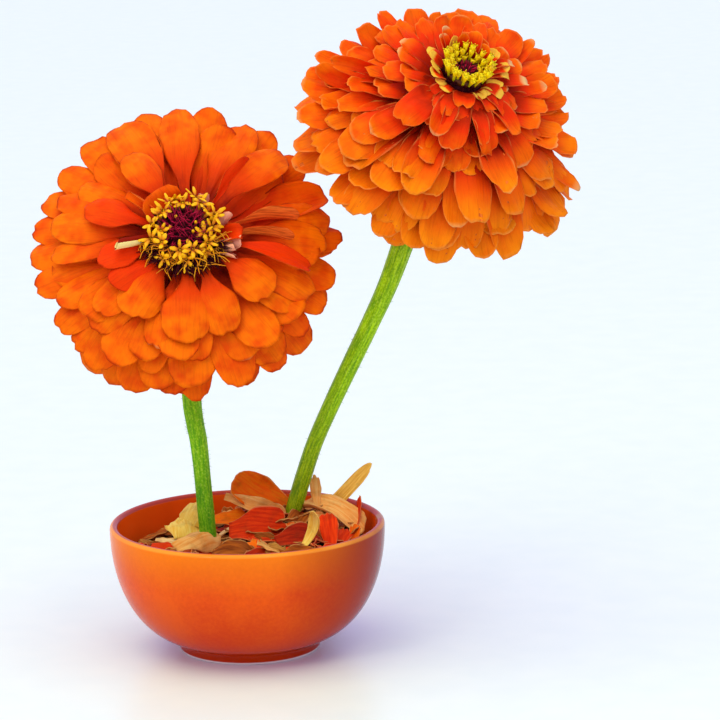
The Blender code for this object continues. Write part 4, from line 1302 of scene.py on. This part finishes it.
def makeDisc(which, place):
    head, settings = heads[which], disc[which]
    sheaf = newSheaf()
    bottom = head["coreHeight"] + heads["discGap"]
    radius, height = head["discRadius"], head["discHeight"] * disc["domeShare"]
    angles = np.linspace(0, 1.45, 7)
    dome = [(radius * math.cos(a), bottom + 0.6 + (height - 0.6) * math.sin(a)) for a in angles]
    addLathe(sheaf, [(0.0, bottom), (radius, bottom), *dome, (0.0, bottom + height)], 28)
    # Painted shade: the core takes the dark scale colour, so the gaps between the petals read near black.
    addLathe(sheaf, [(0.0, heads["coreBottom"]), *head["core"], (0.0, head["coreHeight"])], 32)
    draw = random.Random(head["seed"] + 300)
    steps = np.linspace(0.0, 1.0, 6)[:, None]
    for index in range(settings["scales"]):
        share = math.sqrt((index + 0.5) / settings["scales"])
        angle = index * goldenAngle
        outward = np.array([math.cos(angle), math.sin(angle), 0.0])
        out = leaning(outward, share)
        root = np.array([out[0] * radius, out[1] * radius, bottom + out[2] * height * 0.8])
        twist = np.array([draw.uniform(-1, 1), draw.uniform(-1, 1), draw.uniform(-0.6, 0.6)])
        reach = settings["length"] * draw.uniform(0.6, 1.05) * (1.0 - 0.25 * share)
        route = root + out * reach * steps + twist * settings["twist"] * reach * steps**2
        route -= out * 0.4 * (1.0 - steps)
        thick = settings["radius"] * np.array(disc["scaleTaper"])
        addTube(sheaf, route * mm, thick * mm, 5, tone=(draw.uniform(0.0, 1.0) ** 0.6, 0.0))
    for count, first, last, reach, lean in disc["chaff"][which]:
        for _ in range(count):
            clock = math.radians(draw.uniform(first, last))
            tilt = math.radians(lean + draw.uniform(-18.0, 12.0))
            outward = np.array([math.sin(clock), math.cos(clock), 0.0])
            out = leaning(outward, tilt)
            root = outward * (head["coreRadius"] - draw.uniform(0.2, 1.6))
            root[2] = bottom - 0.6
            twist = np.array([draw.uniform(-1, 1), draw.uniform(-1, 1), draw.uniform(-0.3, 0.5)])
            route = root + (out * steps + twist * 0.25 * steps**2) * reach * draw.uniform(0.6, 1.1)
            thick = disc["chaffRadius"] * np.array(disc["chaffTaper"])
            addTube(sheaf, route * mm, thick * mm, 5)
    material = fringedScale(which + "FringedDiscScale")
    finishSheaf(which + "FlowerDisc", sheaf, material, which + "_flower_disc", place)


florets = {
    "yellow": "#FFBA00",
    "amber": "#E58A08",
    "throat": "#5A2A06",
    "lime": "#C6C400",
    "limeTip": "#FFE000",
    "mouth": "#E8860E",
    "run": {  # from the foot of a floret to its tip
        "short": ("throat", "amber", "yellow", "yellow"),
        "tall": ("lime", "lime", "limeTip", "limeTip"),
    },
    "stars": 21,
    "starReach": (3.4, 5.2),  # mm from the middle of a star to a lobe's tip
    "starHeight": (2.8, 5.0),
    "starRadii": (0.55, 0.6, 0.95),  # up its tube
    "lobeWidth": 1.45,
    "lobe": {
        "root": 0.5,
        "widest": 0.5,
        "cap": 0.45,
        "cup": 0.35,
        "groove": 0.0,
        "ruffle": 0.06,
        "wobble": 0.06,
        "thickness": 0.55,
        "rows": 7,
        "columns": 5,
        "red": 0.0,
    },
    "buds": ((-2.5, 3.0), (4.4, 0.6), (3.4, -3.0), (-4.6, -1.0)),  # small round ones on the disc
    "budProfile": ((0.3, -2.0), (0.5, -0.5), (0.55, 0.1), (0.4, 0.5), (0.1, 0.7)),
    # withered threads on the low side of the head: how many, and between which clock angles
    "threads": ((62, 100, 215), (16, 215, 250)),
    "threadReach": (3.5, 11.5),
    "threadRadii": (0.26, 0.22, 0.12),
    # rings of tubes: how many, how far across the dark ring, height in mm and outward lean
    "tubes": ((10, 0.1, 3.6, -2.0), (14, 0.5, 5.6, 6.0), (16, 0.9, 7.4, 14.0)),
    "tubeRadii": (0.45, 0.5, 0.55, 0.7, 0.95, 1.05, 0.5),
}


def waxyFloret(which):
    # Disc florets: small fleshy tubes and stars, waxy and dusted with pollen, so
    # they are bright with a soft highlight.
    material, shader, add = newMaterial(
        which + "WaxyFloret",
        Roughness=0.45,
        IOR=1.42,
        Specular_IOR_Level=0.25,
        Subsurface_Weight=0.1,
        Subsurface_Radius=(0.8 * mm, 0.5 * mm, 0.1 * mm),
        Subsurface_Scale=1.0,
    )
    where, tone = petalInputs(add)
    orange, dark, _ = add("SeparateColor", (tone,)).outputs
    stops = [(place, florets[key]) for place, key in zip((0.0, 0.3, 0.6, 1.0), florets["run"][which])]
    run = add("ValToRGB", (tone.outputs["Alpha"],), stops=stops)
    pollen = add("TexNoise", {"Vector": where, "Scale": 2.2, "Detail": 3.0})
    dusty = add("MapRange", (pollen, 0.5, 0.75, 0.0, 0.4))
    colour = run
    for factor, over in ((dusty, "amber"), (orange, "mouth"), (dark, "throat")):
        colour = add("Mix", {0: factor, 6: colour, 7: florets[over]}, data_type="RGBA")
    bump = add("Bump", {"Height": pollen, "Strength": 0.5, "Distance": 0.15 * mm})
    setInputs(shader, {"Base Color": colour, "Normal": bump})
    return material


def addStar(sheaf, root, direction, height, reach, turn, draw):  # a floret with five open lobes
    across = np.array(Vector(direction).orthogonal().normalized())
    beside = np.cross(direction, across)
    top = root + direction * height
    route = np.array([root, root + direction * height * 0.6, top])
    addTube(sheaf, route * mm, np.array(florets["starRadii"]) * mm, 8)
    for lobe in range(5):
        angle = turn + 2.0 * math.pi * lobe / 5 + draw.uniform(-0.35, 0.35)
        outward = across * math.cos(angle) + beside * math.sin(angle)
        long = reach * draw.uniform(0.75, 1.15)
        bends = draw.uniform(15, 55), draw.uniform(60, 140)
        spine = bentSpine((top + outward * 0.25) * mm, outward, direction, long, *bends)
        width = florets["lobeWidth"] * draw.uniform(0.75, 1.2)
        bladeSurface(sheaf, spine, {"length": long, "width": width, **florets["lobe"]}, draw)


def addThread(sheaf, clock, bottom, outer, draw):  # a withered, curly thread lying on the petals
    outward = np.array([math.sin(clock), math.cos(clock), 0.0])
    beside = np.array([outward[1], -outward[0], 0.0])
    reach = draw.uniform(*florets["threadReach"])
    start = outer - draw.uniform(0.0, 1.2)
    side, rise = 0.0, bottom + draw.uniform(0.8, 2.8)
    points = []
    for step in np.linspace(0.0, 1.0, 5):
        points.append(outward * (start + reach * step) + beside * side + np.array([0.0, 0.0, rise]))
        side += draw.uniform(-2.8, 2.8)
        rise += draw.uniform(-0.9, 0.8)
    route = smoothRoute(points, 4)
    thick = np.interp(np.linspace(0, 1, len(route)), (0.0, 0.5, 1.0), florets["threadRadii"])
    tone = draw.uniform(0.45, 1.0), draw.choice((0.0, 0.0, 0.2, 0.6))
    addTube(sheaf, route * mm, thick * mm, 5, tone=tone)


def floretRing(sheaf, which, gap, rise):  # the dark ring that carries a head's florets
    head = heads[which]
    inner, outer = head["discRadius"] + gap, head["coreRadius"]
    bottom = head["coreHeight"] + heads["discGap"]
    ring = [(inner, bottom), (outer, bottom), (outer - 0.2, bottom + 1.6), (inner, bottom + rise)]
    addLathe(sheaf, ring, 28, closed=True)
    return inner, outer, bottom, random.Random(head["seed"] + 40)


def makeStars(place):
    sheaf = newSheaf()
    inner, outer, bottom, draw = floretRing(sheaf, "short", 0.6, 1.6)
    for index in range(florets["stars"]):
        angle = 2.0 * math.pi * (index + draw.uniform(-0.25, 0.25)) / florets["stars"]
        lean = math.radians(draw.uniform(-10.0, 70.0))
        outward = np.array([math.cos(angle), math.sin(angle), 0.0])
        direction = leaning(outward, lean)
        root = outward * draw.uniform(inner, outer) + np.array([0.0, 0.0, bottom + 0.8])
        reach = draw.uniform(*florets["starReach"])
        height = draw.uniform(*florets["starHeight"])
        addStar(sheaf, root, direction, height, reach, draw.uniform(0, 6.28), draw)
    top = bottom + heads["short"]["discHeight"] + 0.6
    for x, y in florets["buds"]:
        route = np.array([(x, y, top + rise) for radius, rise in florets["budProfile"]])
        addTube(sheaf, route * mm, [radius * mm for radius, rise in florets["budProfile"]], 8)
    for count, first, last in florets["threads"]:
        for _ in range(count):
            addThread(sheaf, math.radians(draw.uniform(first, last)), bottom, outer, draw)
    finishSheaf("shortFlowerFlorets", sheaf, waxyFloret("short"), "short_flower_florets", place)


def makeTubeFlorets(place):
    sheaf = newSheaf()
    inner, outer, bottom, draw = floretRing(sheaf, "tall", 0.4, 2.2)
    steps = np.linspace(0.0, 1.0, 7)[:, None]
    thick = np.array(florets["tubeRadii"])
    for count, across, reach, lean in florets["tubes"]:
        for index in range(count):
            angle = 2.0 * math.pi * (index + 0.5 * across + draw.uniform(-0.2, 0.2)) / count
            outward = np.array([math.cos(angle), math.sin(angle), 0.0])
            tilt = math.radians(lean + draw.uniform(-5.0, 5.0))
            direction = leaning(outward, tilt)
            root = outward * (inner + across * (outer - inner)) + np.array([0.0, 0.0, bottom + 0.6])
            top = reach * draw.uniform(0.85, 1.12)
            route = root + direction * top * steps + outward * 0.5 * steps**2
            route[-1] = route[-2] - direction * 0.35
            mouth = 1.0 if draw.random() < 0.35 else 0.0
            addTube(sheaf, route * mm, thick * mm, 8, tone=(0.55 * mouth * draw.random(), 0.0))
            first = np.array(Vector(direction).orthogonal().normalized())
            for lobe in range(4):
                turn = 1.57 * lobe + draw.uniform(-0.3, 0.3)
                side = first * math.cos(turn) + np.cross(direction, first) * math.sin(turn)
                lip = route[-2] + side * 0.8
                tip = lip + direction * draw.uniform(0.3, 0.9) + side * draw.uniform(0.2, 0.7)
                addTube(sheaf, [lip * mm, tip * mm], [0.32 * mm, 0.1 * mm], 4, tone=(0.2, 0.0))
    finishSheaf("tallFlowerFlorets", sheaf, waxyFloret("tall"), "tall_flower_florets", place)


# Each one has its centre (x, y and height over the foot), length, width, heading
# round the bowl, rise, roll and curl in degrees, and a colour. Lengths are in mm.
driedPetals = {
    "bigOrange": (
        5.5, 17.5, 50.4, 25, 14, 162, 20, -52, 40, "orange",
        {
            "ruffle": 0.8, "wobble": 0.7, "cup": -0.4, "fold": 0, "notches": (),
            "root": 0.6, "flick": 0, "cap": 0.4,
        },
    ),
    "tanStrip": (1.6, 10.0, 50.8, 24, 6.4, -18, -12, 62, -24, "tan"),
    "orangeBehindStem": (-6.5, 9.0, 46.0, 15, 9, 0, 6, 35, -30, "orange"),
    "creamStick": (-7.8, 4.2, 43.0, 15, 3.0, 40, 26, 0, -10, "cream"),
    "ochreBack": (-20.5, 11.0, 49.0, 15, 13, 70, 52, 0, -60, "ochre", {"cup": 0.4, "fold": 0, "root": 0.7}),
    "ochreFront": (-22.6, 4.0, 46.4, 15, 14, 100, 58, 0, -80, "ochre", {"cup": 0.4, "fold": 0, "root": 0.7}),
    "tanFrontLeft": (-17.5, -12.5, 46.0, 23, 11, 33, 24, 34, -50, "tan", {"cup": 0.7, "fold": 0}),
    "creamStrip": (-30.0, 1.0, 40.2, 9, 3, -20, 4, 35, -20, "cream"),
    "redStrip": (-30.5, -5.0, 39.6, 11, 4, -25, 4, 35, -20, "red"),
    "redWing": (3.0, -3.6, 45.6, 22, 16, -8, 10, 44, -30, "red", {"ruffle": 0.9, "wobble": 0.8}),
    "redTail": (4.6, -12.5, 42.0, 16, 4.4, -60, -6, 10, -20, "red"),
    "redFoot": (-14.5, -27.5, 39.4, 10, 6, 0, 16, 25, -40, "red"),
    "brownScroll": (-3.9, -26.5, 44.6, 19, 11, 0, 26, 30, -90, "brown"),
    "greyBrown": (7.6, -19.5, 42.4, 12, 7, -35, 28, 22, -60, "greyBrown"),
    "brownFlat": (16.7, -26.0, 40.6, 17, 9, 8, 12, 26, -26, "brown"),
    "darkRed": (17.9, -11.5, 43.8, 17, 11, 20, 8, 36, -20, "darkRed"),
    "twig": (15.6, 4.0, 46.0, 10, 3.6, 5, 8, 0, -24, "tan"),
    "yellowCurl": (25.0, -12.8, 44.4, 17, 5.5, 35, 30, 20, 100, "ochre"),
    "redBlock": (30.0, -10.6, 44.6, 15, 7.6, 100, 66, 0, -24, "red"),
    "redChunk": (34.6, -7.0, 42.6, 10, 6.4, 60, 46, 20, -40, "red"),
    "bottomRed": (29.0, -19.5, 39.9, 11, 7, 20, 14, 25, -30, "red"),
    "tanArch": (27.5, 10.5, 51.8, 31, 12, -40, 18, 15, -70, "tan", {"fold": 30, "ruffle": 0.7}),
    "tanSpike": (25.0, 15.0, 52.4, 14, 4.0, 100, 50, 0, 20, "tan"),
    "tanUnderArch": (22.4, 8.0, 46.2, 12, 7, -30, 12, 32, -30, "tan"),
    "quill": (
        36.0, 16.0, 53.4, 26, 6.0, 0, 46, 60, 4, "golden",
        {
            "fold": 28, "ruffle": 0.1, "wobble": 0.2, "flick": 0, "cap": 0.5, "widest": 0.3,
            "root": 0.7,
        },
    ),
    "redEdge": (40.2, 8.0, 45.6, 15, 4.4, 20, 76, 0, 10, "red"),
    "orangeBit": (39.0, -4.0, 41.8, 8, 4, 80, 50, 0, 10, "orange"),
}

heap = {
    "lowest": 36.5,  # mm over the foot
    # each rise: where it is, how high it stands and how wide it is
    "rises": ((14, 12, 8.0, 16), (2, 22, 5.0, 9), (28, 11, 3.5, 9), (12, -20, 3.0, 13)),
    "seed": 77,
    # How many small pieces lie over the heap, and then along the wall of the bowl, and
    # the least and most of each one's height over the heap, length, width, heading,
    # rise, roll and curl.
    "litter": (130, ((-0.6, 1.6), (8, 15), (4, 9), (0, 360), (-14, 22), (-30, 30), (-80, 40))),
    "litterRadius": 38.0,
    "edging": (64, ((-0.2, 1.4), (9, 13), (5, 8.5), (-22, 22), (-8, 10), (-20, 20), (-60, 30))),
    "edgingRadii": (37.6, 38.6, 39.6, 40.6),
    "mix": "tan brown red darkRed brown orange greyBrown brown greyBrown brown darkRed".split(),
    "colours": {  # in the hollows and on the ridges
        "orange": ("#FF5400", "#FF8408"),
        "tan": ("#F08A28", "#FFC870"),
        "cream": ("#F0B060", "#FFE09C"),
        "ochre": ("#F0AC10", "#FFE070"),
        "red": ("#D02000", "#FF4808"),
        "darkRed": ("#8C1000", "#D43408"),
        "brown": ("#6A2404", "#C8681C"),
        "greyBrown": ("#8C480C", "#D49440"),
        "golden": ("#D88A14", "#FFD060"),
    },
    # painted shade: the near-black bed seen in the gaps between the dried petals
    "crumbs": ("#280A04", "#4A1A08"),
    "stain": "#6E3212",
    "margin": "#F4C070",
    "vein": 0.8,  # mm between the ridges of a dried petal
}


def heapHeight(x, y):  # mm over the foot
    rise = sum(
        high * math.exp(-((x - across) ** 2 + (y - back) ** 2) / (2.0 * wide**2))
        for across, back, high, wide in heap["rises"]
    )
    return heap["lowest"] + rise


def driedPetal():
    # Petals dried in air: they shrink between their veins, so they are ridged,
    # curled and papery. They are lighter on the raised veins and darker in the hollows,
    # partly their own colour and partly painted shade.
    material, shader, add = newMaterial("airDriedPetal", Roughness=0.66, IOR=1.45, Specular_IOR_Level=0.1)
    where, tone = petalInputs(add)
    low = add("Attribute", attribute_name="lowColour")
    high = add("Attribute", attribute_name="highColour")
    margin = add("SeparateColor", (tone,)).outputs[2]
    lengthwise = add("VectorMath", (where, (1.0, 0.1, 1.0)), operation="MULTIPLY")
    veins = add(
        "TexNoise",
        {"Vector": lengthwise, "Scale": 1.0 / heap["vein"], "Detail": 4.0, "Roughness": 0.6},
    )
    ridge = add("MapRange", (veins, 0.36, 0.64, 0.2, 0.9))
    cloud = add("TexNoise", {"Vector": where, "Scale": 0.22, "Detail": 4.0})
    browned = add("MapRange", (cloud, 0.5, 0.75, 0.0, 0.36))
    edging = add("Math", (margin, 0.4), operation="MULTIPLY")
    colour = low
    for factor, over in ((ridge, high), (browned, heap["stain"]), (edging, heap["margin"])):
        colour = add("Mix", {0: factor, 6: colour, 7: over}, data_type="RGBA")
    bump = add("Bump", {"Height": veins, "Strength": 0.6, "Distance": 0.4 * mm})
    setInputs(shader, {"Base Color": colour, "Normal": bump})
    return material


def addDried(sheaf, colours, values, foot, draw, fine):
    x, y, z, length, width, heading, rise, roll, curl, colour, *own = values
    shape = {
        "length": length,
        "width": width,
        "root": 0.45,
        "widest": 0.62,
        "cap": 0.3,
        "notches": [(draw.uniform(-0.6, 0.6), draw.uniform(0.3, 1.2)) for _ in range(3)],
        "cup": draw.uniform(-0.25, 0.45),
        "groove": draw.uniform(0.1, 0.6) * min(width / 8.0, 1.0),
        "ruffle": 0.09 * width * draw.uniform(0.5, 1.2),
        "wobble": 0.06 * width * draw.uniform(0.6, 1.2),
        "fold": draw.uniform(0.0, 22.0),
        "thickness": 0.7,
        "rows": 18 if fine else 10,
        "columns": 13 if fine else 9,
        "flick": draw.uniform(-25, 25),
    }
    if own:
        shape.update(own[0])
    turn = (
        Matrix.Translation(Vector((x, y, z)) * mm + Vector((0, 0, foot)))
        @ Matrix.Rotation(math.radians(heading), 4, "Z")
        @ Matrix.Rotation(-math.radians(rise), 4, "Y")
        @ Matrix.Rotation(math.radians(roll), 4, "X")
    )
    root = turn @ Vector((-0.45 * length * mm, 0.0, 0.0))
    ahead = (turn.to_3x3() @ Vector((1.0, 0.0, 0.0))).normalized()
    up = (turn.to_3x3() @ Vector((0.0, 0.0, 1.0))).normalized()
    spine = bentSpine(list(root), list(ahead), list(up), length, 90.0, 90.0 - curl, shape["flick"])
    before = sheaf["count"]
    bladeSurface(sheaf, spine, shape, draw)
    pair = [linear(tone) for tone in heap["colours"][colour]]
    shade = draw.uniform(0.85, 1.1)
    for key, tone in zip(colours, pair):
        colours[key] += [(*(part * shade for part in tone[:3]), 1.0)] * (sheaf["count"] - before)


def addBed(sheaf, foot):  # a bumpy bed of crumbs that hides the foam up to the bowl's wall, painted near black as the shade deep in the gaps between the dried petals
    lowest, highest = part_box("dried_petals")
    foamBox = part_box("floral_foam")
    foamEdge = 0.5 * (foamBox[1].x - foamBox[0].x) / mm
    wide = 0.5 * (highest.x - lowest.x) / mm
    base, level = lowest.z / mm, heap["lowest"]
    rings = 12
    profile = [(0.0, base), (foamEdge, base), (wide, level - 3.0)]
    profile += [(wide * (1 - step / rings), level) for step in range(rings)]
    addLathe(sheaf, [*profile, (0.0, level)], 48)
    for corner in sheaf["points"][-1]:
        if corner[2] > (level - 0.5) * mm:
            x, y = corner[0] / mm, corner[1] / mm
            crumbs = 0.7 * math.sin(x * 1.3) * math.cos(y * 1.1)
            corner[2] = foot + (heapHeight(x, y) - 1.2 + crumbs) * mm


def makeHeap():
    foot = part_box("bowl")[0].z
    draw = random.Random(heap["seed"])
    sheaf = newSheaf()
    colours = {"lowColour": [], "highColour": []}
    for values in driedPetals.values():
        addDried(sheaf, colours, values, foot, draw, True)
    places = []
    count, spread = heap["litter"]
    for index in range(count):
        radius = heap["litterRadius"] * math.sqrt((index + 0.5) / count)
        angle = index * goldenAngle + 1.0
        x, y = radius * math.cos(angle), radius * math.sin(angle)
        places.append((x, y, heapHeight(x, y), 0.0, spread))
    count, spread = heap["edging"]
    for index in range(count):
        radius = heap["edgingRadii"][index % 4]
        angle = index * goldenAngle + 2.0
        x, y = radius * math.cos(angle), radius * math.sin(angle)
        places.append((x, y, heap["lowest"], math.degrees(angle) + 90.0, spread))
    for x, y, ground, heading, spread in places:
        lift, length, width, turn, *bends = [draw.uniform(*ends) for ends in spread]
        values = (x, y, ground + lift, length, width, heading + turn, *bends, draw.choice(heap["mix"]))
        addDried(sheaf, colours, values, foot, draw, False)
    before = sheaf["count"]
    addBed(sheaf, foot)
    # Painted shade: the bed under the pieces is near black.
    for name, tone in zip(colours, heap["crumbs"]):
        colours[name] += [linear(tone)] * (sheaf["count"] - before)
    mesh = finishSheaf("driedPetals", sheaf, driedPetal(), "dried_petals")
    for name, values in colours.items():
        addAttribute(mesh, name, values)


studio = {
    "floor": "#ECEDEF",
    "floorShade": "#E2E6EC",
    "floorReach": 12.0,  # m
    "sky": "#D1D5FF",
    "skyStrength": 1.12,
    "sun": {"colour": "#EFFF7C", "strength": 1.64, "softness": 60.0, "pitch": 16.0, "heading": -30.0},
    # place, what it points at, width and height in metres, watts and colour
    "lights": (
        ((-0.55, -0.75, 0.7), (0.0, 0.0, 0.1), 0.2, 0.26, 1.3, "#FFFDF8"),
        ((0.35, -0.9, 0.6), (0.0, 0.0, 0.05), 0.12, 0.3, 0.5, "#FFF4FA"),
    ),
}


def paintedBoard():
    # A smooth white painted board, matt with a trace of sheen.
    material, shader, add = newMaterial("mattWhiteBoard", Roughness=0.32, IOR=1.45)
    where = add("NewGeometry").outputs["Position"]
    grain = add("TexNoise", {"Vector": where, "Scale": 60.0, "Detail": 2.0})
    soft = add("MapRange", (grain, 0.3, 0.7, 0.0, 0.35))
    inputs = {0: soft, 6: studio["floor"], 7: studio["floorShade"]}
    setInputs(shader, {"Base Color": add("Mix", inputs, data_type="RGBA")})
    return material


def makeStudio():
    mesh = bpy.data.meshes.new("floor")
    reach, height = studio["floorReach"], cadBox[0][2]
    corners = [(x * reach, y * reach, height) for x, y in ((-1, -1), (1, -1), (1, 1), (-1, 1))]
    mesh.from_pydata(corners, [], [[0, 1, 2, 3]])
    mesh.update()
    mesh.materials.append(paintedBoard())
    floor = addObject("floor", mesh)
    world = bpy.data.worlds.new("whiteTent")
    bpy.context.scene.world = world
    world.use_nodes = True
    setInputs(world.node_tree.nodes["Background"], (studio["sky"], studio["skyStrength"]))
    settings = studio["sun"]
    sun = bpy.data.lights.new("softSun", "SUN")
    sun.energy = settings["strength"]
    sun.angle = math.radians(settings["softness"])
    sun.color = linear(settings["colour"])[:3]
    pitch, heading = math.radians(settings["pitch"]), math.radians(settings["heading"])
    addObject("softSun", sun).rotation_euler = (pitch, 0.0, heading)
    for index, (place, target, width, height, watts, colour) in enumerate(studio["lights"]):
        light = bpy.data.lights.new(f"softLight{index + 1}", "AREA")
        light.shape = "RECTANGLE"
        light.size = width
        light.size_y = height
        light.energy = watts
        light.color = linear(colour)[:3]
        lamp = addObject(light.name, light)
        lamp.location = place
        aim = Vector(target) - Vector(place)
        lamp.rotation_euler = aim.to_track_quat("-Z", "Y").to_euler()
    bpy.context.scene.view_settings.view_transform = "Standard"


makeCamera()
makeStudio()
makeBowl()
finishFoam()
print("bowl done")
makeHeap()
print("dried petals done")
shortHead = makeStem("short")
tallHead = makeStem("tall")
print("stems done")
for which, place, stemWidth in (("short", shortHead, 3.6), ("tall", tallHead, 4.2)):
    makeCalyx(which, place, stemWidth)
    makePetals(which, place)
    makeDisc(which, place @ Matrix.Translation(Vector(disc["aside"][which]) * mm))
makeStars(shortHead @ Matrix.Translation(Vector(disc["aside"]["short"]) * mm))
makeTubeFlorets(tallHead)
print("flowers done")
